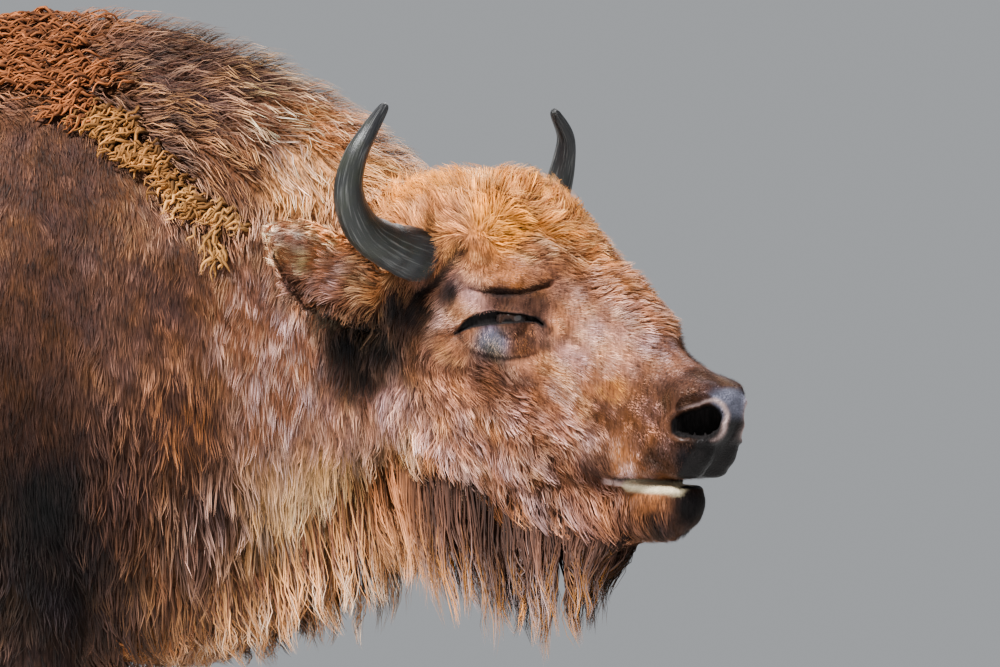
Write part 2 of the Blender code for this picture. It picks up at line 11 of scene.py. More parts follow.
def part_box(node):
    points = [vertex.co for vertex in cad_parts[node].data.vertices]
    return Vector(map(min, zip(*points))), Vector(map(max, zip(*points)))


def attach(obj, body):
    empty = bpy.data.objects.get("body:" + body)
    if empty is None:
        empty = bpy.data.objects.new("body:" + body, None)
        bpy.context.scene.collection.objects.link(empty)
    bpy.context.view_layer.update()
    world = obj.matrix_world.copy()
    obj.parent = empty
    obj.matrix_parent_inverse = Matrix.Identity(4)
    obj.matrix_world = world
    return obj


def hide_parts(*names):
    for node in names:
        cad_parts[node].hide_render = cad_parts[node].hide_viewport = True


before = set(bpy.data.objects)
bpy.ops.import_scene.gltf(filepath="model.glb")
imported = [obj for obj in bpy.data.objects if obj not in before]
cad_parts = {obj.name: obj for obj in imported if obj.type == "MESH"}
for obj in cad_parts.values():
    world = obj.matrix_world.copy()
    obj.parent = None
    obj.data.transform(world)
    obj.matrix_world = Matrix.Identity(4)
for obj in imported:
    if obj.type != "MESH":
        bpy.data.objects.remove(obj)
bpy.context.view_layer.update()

# The stance.
# The bull is laid out along one straight line from tail to nose, and its neck then swings
# the head a little toward its right side. Places below are given on the straight animal.
TURN_START = 0.80
TURN_END = 1.22
HEAD_TURN = math.radians(19)
TURN_RADIUS = (TURN_END - TURN_START) / HEAD_TURN
# The middle of the standing animal's box, which is put over the origin.
MIDDLE = np.array((0.32240194, -0.03274669, 0.0))
POLL = np.array((1.26, 0.0, 1.402))
HEAD_SLOPE = math.radians(40)


def turn_at(x):
    """How far the neck has swung at a distance along the straight animal."""
    return HEAD_TURN * np.clip((x - TURN_START) / (TURN_END - TURN_START), 0, 1)


def turned(points):
    """Points of the straight animal, moved to where the standing one has them."""
    points = np.atleast_2d(points).astype(float)
    angle = turn_at(points[:, 0])
    past = points[:, 0] - TURN_START - angle * TURN_RADIUS
    x = TURN_START + TURN_RADIUS * np.sin(angle) + past * np.cos(angle)
    y = -TURN_RADIUS * (1 - np.cos(angle)) - past * np.sin(angle)
    x += points[:, 1] * np.sin(angle)
    y += points[:, 1] * np.cos(angle)
    return np.stack([x, y, points[:, 2]], 1) - MIDDLE


def straightened(points):
    """The reverse: places on the standing animal, given on the straight one."""
    place = np.atleast_2d(points) + MIDDLE
    across = place[:, 1] + TURN_RADIUS
    along = place[:, 0] - TURN_START
    angle = np.clip(np.arctan2(along, across), 0, HEAD_TURN)
    past = along * np.cos(angle) - across * np.sin(angle)
    side = along * np.sin(angle) + across * np.cos(angle) - TURN_RADIUS
    return np.stack([TURN_START + angle * TURN_RADIUS + past, side, place[:, 2]], 1)


def swung(vectors, x, way=1):
    """Directions on the straight animal swung with the neck, or back again with way -1."""
    angle = turn_at(x) * way
    return np.stack([
        vectors[:, 0] * np.cos(angle) + vectors[:, 1] * np.sin(angle),
        vectors[:, 1] * np.cos(angle) - vectors[:, 0] * np.sin(angle),
        vectors[:, 2]], 1)


def face_point(ahead, side, above):
    """A place on the sloping face: ahead of the poll, out to a side, and above the slope."""
    c, s = math.cos(HEAD_SLOPE), math.sin(HEAD_SLOPE)
    return np.array((POLL[0] + ahead * c + above * s, side, POLL[2] + above * c - ahead * s))


# The camera.
# A long lens at the height of the face, a little behind square to the body's right side. It
# looks level at a place beside the poll.
CAMERA_AZIMUTH = math.radians(12)
CAMERA_AWAY = 17.361
CAMERA_LENS = 400
AIM_ASIDE = 0.0516
AIM_HEIGHT = 1.2789
right = Vector((math.cos(CAMERA_AZIMUTH), math.sin(CAMERA_AZIMUTH), 0))
ahead = Vector((-math.sin(CAMERA_AZIMUTH), math.cos(CAMERA_AZIMUTH), 0))
aim = Vector(turned(POLL)[0]) + right * AIM_ASIDE
aim.z = AIM_HEIGHT
camera_data = bpy.data.cameras.new("camera")
camera_data.lens = CAMERA_LENS
camera_data.sensor_width = 36
camera_data.clip_end = 200
camera = bpy.data.objects.new("camera", camera_data)
camera.location = aim - ahead * CAMERA_AWAY
camera.rotation_euler = (math.pi / 2, 0, CAMERA_AZIMUTH)
bpy.context.scene.collection.objects.link(camera)
bpy.context.scene.camera = camera

# The coat's map.
# A wisent's hair is short and flat on the face and feet, felted on the neck, curled on the brow
# and long on the jaw, nape and hump. The map says how it grows from place to place on the right
# half of the straight animal, and the left half mirrors it.
COLOURS = {
    "pitch": (0.006, 0.005, 0.005), "black": (0.016, 0.010, 0.009), "umber": (0.050, 0.021, 0.013),
    "brown": (0.105, 0.038, 0.016), "russet": (0.225, 0.083, 0.041), "rust": (0.400, 0.138, 0.045),
    "amber": (0.300, 0.115, 0.020), "orange": (0.580, 0.185, 0.012), "gold": (0.780, 0.300, 0.020),
    "tan": (0.580, 0.255, 0.095), "cream": (0.900, 0.500, 0.225), "rose": (0.620, 0.285, 0.200),
    "blush": (0.780, 0.430, 0.310), "ash": (0.200, 0.140, 0.130), "lilac": (0.600, 0.420, 0.390),
    "dun": (0.210, 0.110, 0.055), "mauve": (0.430, 0.165, 0.085), "slate": (0.075, 0.075, 0.100),
    "pearl": (0.800, 0.480, 0.370),
    "straw": (0.620, 0.520, 0.330), "blond": (0.950, 0.660, 0.440)}

# Rows of the head and neck, with places measured ahead of the poll, out and up. Each names a
# place and says where it is, which way the hair lies, as degrees in the side view or as a
# direction, then the hair's length in millimetres, its lift, its wave and width in millimetres,
# the coat's depth in millimetres, thousands of tufts to the square metre, and the colours of
# the tufts' bodies and tips.
HEAD_MAP = [
    ("muzzle_top", (0.44, 0.03, -0.19), -25, 6, 0.15, 0, 1.6, 3, 130, "umber", "ash"),
    ("nose_ridge_low", (0.39, 0.02, -0.15), -5, 10, 0.30, 0, 1.8, 6, 120, "mauve", "pearl"),
    ("nose_ridge", (0.33, 0.04, -0.08), 10, 20, 0.45, 0, 1.9, 12, 110, "mauve", "pearl"),
    ("nose_ridge_edge", (0.36, 0.00, -0.09), 25, 40, 0.95, 0, 1.5, 13, 125, "rust", "blush"),
    ("nose_ridge_high", (0.28, 0.03, -0.02), 20, 28, 0.55, 0, 1.8, 18, 100, "rust", "blush"),
    ("nose_edge_high", (0.28, 0.02, -0.02), 35, 40, 0.92, 0, 1.6, 20, 115, "rust", "blush"),
    ("brow_front", (0.23, 0.04, 0.02), 25, 32, 0.55, 0, 2.0, 24, 90, "rust", "cream"),
    ("brow_edge", (0.20, 0.06, 0.05), 40, 38, 0.85, 0, 1.7, 26, 90, "orange", "cream"),
    ("forehead_front", (0.18, 0.03, 0.08), 45, 38, 0.55, 0, 2.2, 30, 80, "rust", "gold"),
    ("crest_front", (0.14, 0.05, 0.11), 70, 42, 0.55, 0, 2.3, 38, 80, "rust", "gold"),
    ("crest_top", (0.08, 0.09, 0.12), 95, 44, 0.55, 0, 2.3, 40, 80, "orange", "cream"),
    ("crest_rear", (0.00, 0.08, 0.12), 125, 44, 0.50, 0, 2.5, 38, 80, "orange", "orange"),
    ("crest_behind", (-0.07, 0.07, 0.11), 145, 44, 0.40, 0, 2.6, 36, 70, "orange", "orange"),
    ("whorl_up", (0.11, 0.14, 0.06), 85, 26, 0.35, 0, 2.2, 18, 100, "orange", "gold"),
    ("whorl_right", (0.15, 0.13, 0.04), 8, 24, 0.30, 0, 2.1, 14, 100, "orange", "gold"),
    ("whorl_fore", (0.19, 0.11, 0.01), 5, 22, 0.30, 0, 2.1, 12, 100, "rust", "cream"),
    ("whorl_left", (0.08, 0.15, 0.06), 150, 22, 0.40, 0, 2.2, 16, 100, "rust", "tan"),
    ("whorl_down", (0.11, 0.16, 0.01), -70, 16, 0.30, 0, 1.9, 10, 110, "rust", "tan"),
    ("horn_collar_fore", (0.07, 0.17, 0.01), -120, 16, 0.50, 0, 2.0, 14, 110, "russet", "tan"),
    ("horn_collar_low", (0.03, 0.17, -0.04), -110, 16, 0.45, 1, 2.0, 14, 110, "brown", "russet"),
    ("temple_shade", (0.01, 0.16, -0.08), -110, 16, 0.30, 1, 2.0, 10, 110, "pitch", "umber"),
    ("horn_collar_top", (0.02, 0.16, 0.06), 125, 24, 0.45, 0, 2.2, 20, 100, "rust", "tan"),
    ("temple_groove", (0.07, 0.16, -0.06), -120, 12, 0.20, 0, 2.0, 6, 110, "black", "black"),
    ("temple", (0.09, 0.16, -0.07), -160, 9, 0.20, 0, 1.6, 4, 140, "rose", "pearl"),
    ("brow_fold", (0.16, 0.14, -0.03), -15, 9, 0.20, 0, 1.6, 5, 140, "rust", "rose"),
    ("brow_fold_fore", (0.21, 0.11, -0.02), -5, 12, 0.25, 0, 1.8, 7, 120, "russet", "rust"),
    ("upper_lid", (0.15, 0.14, -0.07), -8, 5, 0.10, 0, 1.4, 2, 160, "umber", "brown"),
    ("upper_lid_fore", (0.20, 0.13, -0.08), 20, 6, 0.15, 0, 1.4, 2, 160, "umber", "brown"),
    ("lower_lid", (0.13, 0.14, -0.14), -85, 6, 0.12, 0, 1.3, 2, 170, "slate", "lilac"),
    ("lower_lid_fore", (0.18, 0.13, -0.14), -70, 6, 0.12, 0, 1.3, 2, 170, "umber", "rust"),
    ("eye_rear", (0.07, 0.15, -0.11), -165, 9, 0.20, 0, 1.6, 4, 140, "russet", "blush"),
    ("eye_fore", (0.24, 0.11, -0.11), -5, 9, 0.20, 0, 1.6, 4, 140, "mauve", "blush"),
    ("below_eye_rear", (0.06, 0.15, -0.15), -145, 18, 0.25, 0, 2.0, 9, 110, "mauve", "tan"),
    ("under_eye", (0.11, 0.13, -0.18), -15, 24, 0.22, 0, 2.1, 10, 100, "brown", "russet"),
    ("under_eye_fore", (0.19, 0.13, -0.17), -30, 12, 0.22, 0, 1.8, 6, 120, "mauve", "blush"),
    ("face", (0.26, 0.10, -0.13), -3, 13, 0.25, 0, 1.7, 7, 120, "rose", "pearl"),
    ("face_fore", (0.31, 0.08, -0.14), -3, 12, 0.25, 0, 1.7, 7, 120, "rose", "pearl"),
    ("face_low", (0.29, 0.09, -0.18), -22, 11, 0.22, 0, 1.7, 6, 120, "mauve", "blush"),
    ("face_spot", (0.30, 0.08, -0.21), -40, 10, 0.22, 0, 1.8, 6, 120, "rust", "gold"),
    ("face_rear", (0.22, 0.11, -0.20), -18, 16, 0.22, 0, 1.9, 8, 110, "mauve", "pearl"),
    ("face_bottom", (0.29, 0.09, -0.24), -30, 12, 0.22, 0, 1.7, 7, 120, "brown", "rose"),
    ("muzzle_side", (0.37, 0.07, -0.23), -25, 8, 0.18, 0, 1.6, 4, 140, "brown", "rose"),
    ("muzzle_rear", (0.37, 0.08, -0.28), -40, 7, 0.18, 0, 1.6, 4, 140, "brown", "rose"),
    ("upper_lip", (0.32, 0.08, -0.325), -80, 9, 0.25, 0, 1.6, 4, 140, "rust", "pearl"),
    ("upper_lip_middle", (0.38, 0.07, -0.31), -80, 6, 0.20, 0, 1.5, 3, 150, "umber", "ash"),
    ("muzzle_wing", (0.40, 0.07, -0.22), -30, 5, 0.15, 0, 1.5, 3, 150, "umber", "ash"),
    ("muzzle_fold", (0.35, 0.08, -0.25), -30, 8, 0.18, 0, 1.6, 4, 140, "brown", "rose"),
    ("lip_corner", (0.29, 0.08, -0.33), -55, 12, 0.25, 0, 1.8, 6, 120, "umber", "brown"),
    ("upper_lip_fore", (0.44, 0.06, -0.32), -85, 5, 0.20, 0, 1.4, 2, 150, "pitch", "umber"),
    ("chin", (0.36, 0.05, -0.385), -75, 12, 0.30, 0, 1.7, 7, 120, "rust", "brown"),
    ("chin_low", (0.36, 0.04, -0.41), -75, 34, 0.45, 0, 1.7, 7, 120, "black", "umber"),
    ("chin_fore", (0.41, 0.02, -0.39), -80, 6, 0.20, 0, 1.4, 2, 150, "pitch", "black"),
    ("cheek_fore", (0.24, 0.10, -0.26), -25, 24, 0.25, 0, 2.1, 14, 95, "mauve", "pearl"),
    ("cheek_top", (0.16, 0.12, -0.23), -15, 28, 0.25, 0, 2.1, 16, 90, "russet", "rose"),
    ("cheek_high", (0.05, 0.14, -0.20), -40, 30, 0.28, 0, 2.1, 18, 90, "mauve", "rose"),
    ("cheek_whorl", (0.10, 0.12, -0.26), -60, 28, 0.30, 0, 2.1, 20, 90, "mauve", "pearl"),
    ("cheek", (0.12, 0.10, -0.31), -68, 36, 0.30, 1, 2.2, 24, 80, "mauve", "pearl"),
    ("cheek_rear", (0.01, 0.13, -0.30), -97, 40, 0.30, 2, 2.4, 28, 70, "mauve", "pearl"),
    ("cheek_low", (0.18, 0.09, -0.35), -48, 38, 0.30, 1, 2.2, 26, 80, "brown", "blush"),
    ("jaw_fore", (0.26, 0.07, -0.38), -50, 44, 0.30, 2, 2.4, 26, 70, "russet", "rose"),
    ("jaw", (0.19, 0.08, -0.41), -58, 60, 0.26, 2, 2.6, 28, 64, "mauve", "pearl"),
    ("jaw_low", (0.09, 0.07, -0.41), -72, 64, 0.26, 3, 2.8, 28, 60, "rust", "rose"),
    ("jaw_rear", (-0.01, 0.06, -0.39), -85, 66, 0.28, 3, 2.8, 30, 60, "rust", "blond"),
    ("gullet", (-0.06, 0.11, -0.30), -95, 46, 0.30, 3, 2.6, 30, 60, "tan", "blond"),
    ("below_ear", (-0.08, 0.12, -0.23), -100, 40, 0.30, 2, 2.6, 26, 65, "rose", "pearl"),
    ("ear_shadow_fore", (-0.04, 0.16, -0.07), -100, 28, 0.25, 2, 2.5, 12, 80, "pitch", "black"),
    ("ear_shadow", (-0.07, 0.15, -0.13), -100, 34, 0.25, 2, 2.5, 14, 60, "pitch", "black"),
    ("ear_shadow_rear", (-0.13, 0.17, -0.13), -100, 34, 0.25, 2, 2.5, 14, 60, "pitch", "pitch"),
    ("ear_shadow_low", (-0.10, 0.155, -0.19), -100, 34, 0.25, 2, 2.5, 14, 60, "pitch", "umber"),
    ("neck_ear", (-0.14, 0.16, -0.26), -92, 36, 0.30, 1, 2.1, 20, 44, "rose", "pearl"),
    ("neck_low", (-0.19, 0.12, -0.38), -88, 60, 0.32, 3, 2.4, 26, 26, "cream", "blond"),
    ("gullet_low", (-0.13, 0.11, -0.38), -88, 60, 0.32, 3, 2.6, 26, 40, "cream", "blond"),
    ("crown_neck", (-0.11, 0.06, 0.14), -28, 49, 0.45, 5, 2.2, 24, 34, "tan", "blond"),
    ("crest_neck", (-0.19, 0.07, 0.20), -30, 57, 0.45, 6, 2.3, 26, 28, "rust", "blond"),
    ("mane_top", (-0.35, 0.08, 0.29), -25, 57, 0.42, 3, 2.4, 26, 24, "umber", "cream"),
    ("hump_fore", (-0.47, 0.07, 0.34), -15, 52, 0.40, 4, 2.4, 26, 24, "umber", "dun"),
    ("hump_side", (-0.42, 0.14, 0.25), -8, 57, 0.40, 5, 2.4, 24, 24, "umber", "tan"),
    ("mane_curve", (-0.30, 0.13, 0.21), -45, 62, 0.40, 5, 2.5, 24, 24, "brown", "blond"),
    ("mane_side", (-0.23, 0.15, 0.13), -80, 62, 0.36, 5, 2.4, 24, 26, "tan", "blond"),
    ("mane_inner", (-0.33, 0.18, 0.14), -60, 57, 0.34, 5, 2.5, 24, 24, "brown", "tan"),
    ("neck_upper", (-0.21, 0.19, 0.02), -92, 22, 0.25, 2, 1.9, 14, 34, "brown", "russet"),
    ("neck_behind_ear", (-0.21, 0.20, -0.14), -92, 26, 0.25, 2, 1.9, 14, 38, "russet", "pearl"),
    ("neck_mid", (-0.29, 0.23, -0.10), -92, 24, 0.26, 2, 1.9, 16, 38, "russet", "blush"),
    ("neck", (-0.24, 0.21, -0.24), -90, 30, 0.28, 2, 1.9, 20, 34, "russet", "pearl"),
    ("neck_rear", (-0.44, 0.25, -0.07), -90, 20, 0.22, 2, 1.9, 12, 30, "umber", "russet"),
    ("neck_base", (-0.41, 0.24, -0.26), -90, 32, 0.24, 2, 2.2, 16, 28, "umber", "rust"),
    ("shoulder_fore", (-0.63, 0.22, 0.13), -85, 22, 0.20, 1, 2.5, 10, 28, "umber", "brown"),
    ("shoulder_mid", (-0.63, 0.27, -0.07), -90, 22, 0.20, 1, 2.5, 10, 28, "umber", "umber"),
    ("shoulder_under", (-0.65, 0.28, -0.26), -90, 28, 0.22, 1, 2.6, 12, 24, "umber", "umber"),
    # The black rows behind and under the shoulder are darker hair made blacker by painted shade.
    ("shoulder_hollow", (-0.63, 0.27, -0.38), -88, 32, 0.24, 1, 2.8, 12, 22, "black", "black"),
    ("shoulder_shade", (-0.62, 0.27, -0.52), -88, 34, 0.24, 1, 2.8, 12, 22, "black", "black"),
    ("shoulder_foot", (-0.54, 0.25, -0.60), -88, 36, 0.24, 1, 2.8, 12, 22, "black", "black"),
    ("chest_fore", (-0.40, 0.20, -0.41), -88, 70, 0.30, 4, 3.4, 24, 20, "umber", "blush"),
    ("chest_mid", (-0.52, 0.26, -0.38), -88, 56, 0.28, 4, 3.4, 20, 20, "umber", "brown"),
    ("hump_crown", (-0.67, 0.05, 0.37), 5, 41, 0.36, 4, 3.4, 20, 20, "brown", "rust"),
    ("crest_middle", (0.06, 0.00, 0.15), 80, 44, 0.55, 0, 2.3, 40, 80, "orange", "cream"),
    ("forehead_middle", (0.19, 0.00, 0.09), 45, 36, 0.50, 0, 2.3, 30, 80, "rust", "gold"),
    ("ridge_middle", (0.32, 0.00, -0.05), 22, 24, 0.60, 0, 2.0, 14, 105, "rust", "blush"),
    ("gullet_middle", (0.10, 0.00, -0.44), -75, 60, 0.30, 3, 2.8, 26, 45, "umber", "brown"),
    ("throat_middle", (-0.20, 0.00, -0.42), -85, 66, 0.32, 6, 2.9, 23, 22, "brown", "tan"),
    ("ear_root", (-0.07, 0.18, -0.05), (-0.13, 0.18, 0.04), 30, 0.30, 1, 2.0, 8, 120, "rust", "cream"),
    ("ear_top", (-0.12, 0.25, 0.02), (-0.13, 0.18, 0.12), 30, 0.45, 1, 1.9, 7, 130, "rust", "blond"),
    ("ear_middle", (-0.12, 0.23, -0.04), (-0.13, 0.18, 0.00), 34, 0.35, 1, 1.9, 7, 130, "mauve", "pearl"),
    ("ear_back", (-0.15, 0.28, -0.01), (-0.13, 0.20, 0.05), 30, 0.40, 0, 1.8, 6, 150, "mauve", "blond"),
    ("ear_tip", (-0.18, 0.34, 0.03), (-0.13, 0.22, 0.08), 26, 0.55, 0, 1.7, 5, 160, "mauve", "blond"),
    ("ear_low", (-0.16, 0.28, -0.06), (-0.10, 0.10, -0.10), 46, 0.40, 1, 2.0, 7, 130, "umber", "rose"),
    # The black hair under the ear is its dark fringe, made black as the ear's painted shadow.
    ("ear_under", (-0.13, 0.23, -0.10), (-0.06, 0.06, -0.16), 75, 0.40, 3, 2.4, 8, 130, "pitch", "black"),
    ("ear_base", (-0.08, 0.18, -0.11), (-0.03, 0.03, -0.20), 80, 0.40, 3, 2.5, 8, 120, "pitch", "black"),
    ("ear_opening", (-0.09, 0.28, 0.01), (-0.06, 0.25, -0.40), 30, 0.40, 1, 2.0, 6, 110, "rust", "cream"),
]
# The same for the body, with places measured from the ground under its middle.
BODY_MAP = [
    ("hump_top", (0.25, 0.00, 1.79), 178, 34, 0.35, 6, 3.2, 20, 18, "rust", "orange"),
    ("hump_shoulder", (0.20, 0.18, 1.62), -130, 36, 0.32, 7, 3.2, 20, 18, "brown", "russet"),
    ("withers", (-0.10, 0.00, 1.70), 180, 39, 0.30, 3, 5.1, 14, 13, "brown", "rust"),
    ("shoulder", (0.35, 0.30, 1.15), -95, 38, 0.30, 7, 3.2, 20, 18, "umber", "brown"),
    ("shoulder_rear", (0.02, 0.30, 1.30), -125, 38, 0.28, 3, 5.1, 12, 13, "umber", "brown"),
    ("elbow", (0.30, 0.25, 0.86), -95, 50, 0.30, 5, 4.8, 15, 18, "black", "umber"),
    ("brisket", (0.62, 0.08, 0.82), -85, 86, 0.35, 5, 4.8, 20, 20, "umber", "brown"),
    ("chest_front", (0.80, 0.12, 0.95), -85, 99, 0.35, 6, 4.8, 23, 20, "brown", "tan"),
    ("back", (-0.50, 0.00, 1.60), 180, 30, 0.25, 1, 4.8, 8, 11, "brown", "dun"),
    ("back_side", (-0.50, 0.22, 1.45), -160, 27, 0.24, 1, 4.8, 7, 11, "brown", "dun"),
    ("loin", (-0.85, 0.00, 1.50), 180, 24, 0.22, 0, 4.6, 7, 11, "brown", "dun"),
    ("flank", (-0.35, 0.34, 1.10), -140, 30, 0.25, 1, 4.8, 8, 11, "brown", "dun"),
    ("flank_low", (-0.35, 0.25, 0.88), -155, 38, 0.28, 2, 4.8, 10, 12, "umber", "brown"),
    ("belly", (-0.20, 0.00, 0.80), 180, 42, 0.30, 2, 4.8, 10, 11, "umber", "brown"),
    ("groin", (-0.62, 0.05, 0.86), 180, 30, 0.25, 1, 4.6, 7, 11, "umber", "brown"),
    ("rump", (-1.12, 0.10, 1.38), -140, 22, 0.22, 0, 4.5, 5, 12, "brown", "dun"),
    ("haunch", (-0.85, 0.26, 1.20), -125, 22, 0.22, 0, 4.5, 5, 12, "brown", "dun"),
    ("thigh", (-0.95, 0.24, 0.90), -110, 22, 0.22, 0, 4.2, 5, 13, "brown", "dun"),
    ("buttock", (-1.20, 0.12, 1.05), -95, 24, 0.24, 0, 4.2, 5, 13, "umber", "brown"),
    ("foreleg_top", (0.46, 0.22, 0.68), -92, 33, 0.24, 1, 4.8, 8, 22, "black", "umber"),
    ("foreleg", (0.48, 0.20, 0.42), -92, 11, 0.20, 0, 2.3, 4, 34, "umber", "brown"),
    ("forefoot", (0.48, 0.20, 0.12), -88, 9, 0.20, 0, 2.2, 3, 46, "black", "umber"),
    ("gaskin", (-0.85, 0.20, 0.66), -100, 21, 0.22, 0, 4.2, 5, 26, "umber", "brown"),
    ("hock", (-0.92, 0.20, 0.42), -92, 10, 0.20, 0, 2.3, 4, 34, "umber", "brown"),
    ("hindfoot", (-0.78, 0.20, 0.12), -88, 9, 0.20, 0, 2.2, 3, 46, "black", "umber"),
    ("tail_root", (-1.04, 0.00, 1.40), -110, 22, 0.22, 0, 2.8, 7, 22, "brown", "umber"),
    ("tail", (-1.05, 0.00, 1.10), -90, 20, 0.25, 1, 2.5, 6, 26, "umber", "black"),
]
BATCH = 20000
BLEND = 2e-5


def map_row(place, lie, length, lift, wave, width, depth, crowd, body, tip):
    """One place of the map as numbers: where it is, and everything that the hair does there."""
    if not isinstance(lie, tuple):
        lie = (math.cos(math.radians(lie)), 0, math.sin(math.radians(lie)))
    size = np.linalg.norm(lie)
    numbers = [length * 0.001, lift, wave * 0.001, width * 0.001, depth * 0.001, crowd * 1000]
    return [*place, *(a / size for a in lie), *numbers, *COLOURS[body], *COLOURS[tip]]


coat_map = np.array(
    [map_row(np.add(POLL, row[1]), *row[2:]) for row in HEAD_MAP]
    + [map_row(*row[1:]) for row in BODY_MAP])


def coat_at(points):
    """What the coat does at places on the standing animal, blended from the nearest rows."""
    flat = straightened(points)
    side = np.where(flat[:, 1] < 0, -1.0, 1.0)
    near = flat.copy()
    near[:, 1] *= side
    mixed = np.empty((len(points), coat_map.shape[1] - 3))
    for start in range(0, len(points), BATCH):
        part = slice(start, start + BATCH)
        apart = ((near[part, None, :] - coat_map[None, :, :3]) ** 2).sum(2) + BLEND
        share = apart ** -2.0
        mixed[part] = (share @ coat_map[:, 3:]) / share.sum(1)[:, None]
    lie = mixed[:, :3].copy()
    lie[:, 1] *= side
    return {
        "lie": swung(lie, flat[:, 0]), "length": mixed[:, 3], "lift": mixed[:, 4],
        "wave": mixed[:, 5], "width": mixed[:, 6], "depth": mixed[:, 7], "crowd": mixed[:, 8],
        "body": mixed[:, 9:12], "tip": mixed[:, 12:15], "flat": near}


# The skin.
# One hide over the whole bull, without a seam: the solids of flesh are fused, smoothed, and
# drawn in by the depth of the coat. The face is finer, for lids, nostrils, lips and folds.
SIDES = {"left": 1.0, "right": -1.0}
FLESH = ["trunk", "neck", "head", "lower_jaw", "tail"] + [
    f"{part}_{side}" for part in ("ear", "leg_front", "leg_hind") for side in SIDES]
SWELL = 0.001
HIDE_GRAIN = 0.005
BODY_KEPT = 0.26
COAT_OVER_SKIN = 0.92
NECK_END, FACE_START = 1.10, 1.20


def linked(name, data):
    """A new piece of the scene, with its mesh or lamp."""
    made = bpy.data.objects.new(name, data)
    bpy.context.scene.collection.objects.link(made)
    return made


def of_nodes(name, nodes, swell):
    """Copies of CAD nodes in one mesh, each swollen so that it overlaps its neighbours."""
    whole = bmesh.new()
    for node in nodes:
        part = bmesh.new()
        part.from_mesh(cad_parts[node].data)
        bmesh.ops.remove_doubles(part, verts=part.verts, dist=1e-5)
        part.normal_update()
        for vert in part.verts:
            vert.co += vert.normal * swell
        copy = bpy.data.meshes.new(node + "_copy")
        part.to_mesh(copy)
        part.free()
        whole.from_mesh(copy)
        bpy.data.meshes.remove(copy)
    mesh = bpy.data.meshes.new(name)
    whole.to_mesh(mesh)
    whole.free()
    return linked(name, mesh)


def settled(thing):
    """Applies a piece's modifiers to its mesh."""
    graph = bpy.context.evaluated_depsgraph_get()
    mesh = bpy.data.meshes.new_from_object(thing.evaluated_get(graph))
    thing.modifiers.clear()
    thing.data = mesh
    mesh.name = thing.name


def remeshed(thing, grain):
    """One even closed surface round everything in the piece."""
    shell = thing.modifiers.new("shell", "REMESH")
    shell.mode = "VOXEL"
    shell.voxel_size = grain
    settled(thing)


def places(mesh):
    """The mesh's points as an array."""
    flat = np.empty(len(mesh.vertices) * 3)
    mesh.vertices.foreach_get("co", flat)
    return flat.reshape(-1, 3)


def put(mesh, points):
    """Moves the mesh's points."""
    mesh.vertices.foreach_set("co", np.ascontiguousarray(points).ravel())
    mesh.update()


def outward(mesh):
    """The normals at the mesh's points."""
    flat = np.empty(len(mesh.vertices) * 3)
    mesh.vertex_normals.foreach_get("vector", flat)
    return flat.reshape(-1, 3)


def smoothed(mesh, points, rounds, amount=1.0, pull=0.5, push=-0.52):
    """Evens out facets; each push after a pull keeps the form from shrinking."""
    edges = np.empty(len(mesh.edges) * 2, dtype=np.int32)
    mesh.edges.foreach_get("vertices", edges)
    a, b = edges.reshape(-1, 2).T
    count = np.bincount(edges, minlength=len(points))[:, None]
    amount = np.reshape(amount, (-1, 1))
    for step in range(rounds):
        for strength in (pull, push):
            if not strength:
                continue
            total = np.stack([
                np.bincount(a, points[b, axis], len(points))
                + np.bincount(b, points[a, axis], len(points)) for axis in range(3)], 1)
            points = points + (total / count - points) * amount * strength
    return points


def step_up(low, high, value):
    """A soft step from nought at low to one at high."""
    share = np.clip((value - low) / (high - low), 0, 1)
    return share * share * (3 - 2 * share)


# The body behind the face is evened out and made of fewer faces, then the skin sinks from the
# coat's outside to where the hair grows.
hide = of_nodes("hide", FLESH + ["eye_left", "eye_right"], SWELL)
remeshed(hide, HIDE_GRAIN)
points = smoothed(hide.data, places(hide.data), rounds=14)
on_face = step_up(NECK_END, FACE_START, straightened(points)[:, 0])
points = smoothed(hide.data, points, rounds=30, amount=1 - on_face)
put(hide.data, points)
hidden = hide.vertex_groups.new(name="under_coat")
for number, share in enumerate(1 - on_face):
    if share > 0:
        hidden.add([number], share, "REPLACE")
thin = hide.modifiers.new("thin", "DECIMATE")
thin.ratio = BODY_KEPT
thin.vertex_group = hidden.name
settled(hide)
points = places(hide.data)
flat = straightened(points)
above_legs = 0.25 + 0.75 * step_up(0.72, 0.86, flat[:, 2])
bulk = (1 - step_up(NECK_END, FACE_START, flat[:, 0])) * above_legs
points = smoothed(hide.data, points, rounds=40, amount=bulk)
rear = step_up(0.75, 0.45, flat[:, 0]) * step_up(0.98, 1.12, flat[:, 2])
points = smoothed(hide.data, points, rounds=160, amount=rear, push=0)
put(hide.data, points)
skin_depth = coat_at(points)["depth"]
points = points - outward(hide.data) * (skin_depth * COAT_OVER_SKIN + SWELL)[:, None]
points = smoothed(hide.data, points, rounds=4)
put(hide.data, points)

# The face's relief.
# Lids over the eyeball, a brow fold, the nostrils' rims and the rolled lips are pushed into
# the hide, on finer faces. Each has its own flat axes: ahead, up and out of the skin.
EYE = face_point(0.192, 0.1235, 0.016)
NOSTRIL = face_point(0.508, 0.064, 0.104)
EYE_AXES = np.array(((0.973, -0.230, 0.026), (0.0, 0.112, 0.994), (0.231, 0.967, -0.109)))
NOSE_AXES = np.array(((0.873, -0.484, -0.056), (0.0, -0.115, 0.993), (0.488, 0.867, 0.100)))
EYEBALL = 0.0275
EYEBALL_UP = 0.008
EYEBALL_IN = 0.006
LID = 0.0035
SLIT_ALONG = (-0.088, -0.076, -0.057, -0.033, -0.002, 0.021, 0.040, 0.050)
SLIT_TOP = (-0.004, 0.0095, 0.0200, 0.0245, 0.0225, 0.0185, 0.0120, 0.0020)
SLIT_BOTTOM = (-0.008, -0.0035, 0.0015, 0.0045, 0.0075, 0.0080, 0.0060, -0.0010)
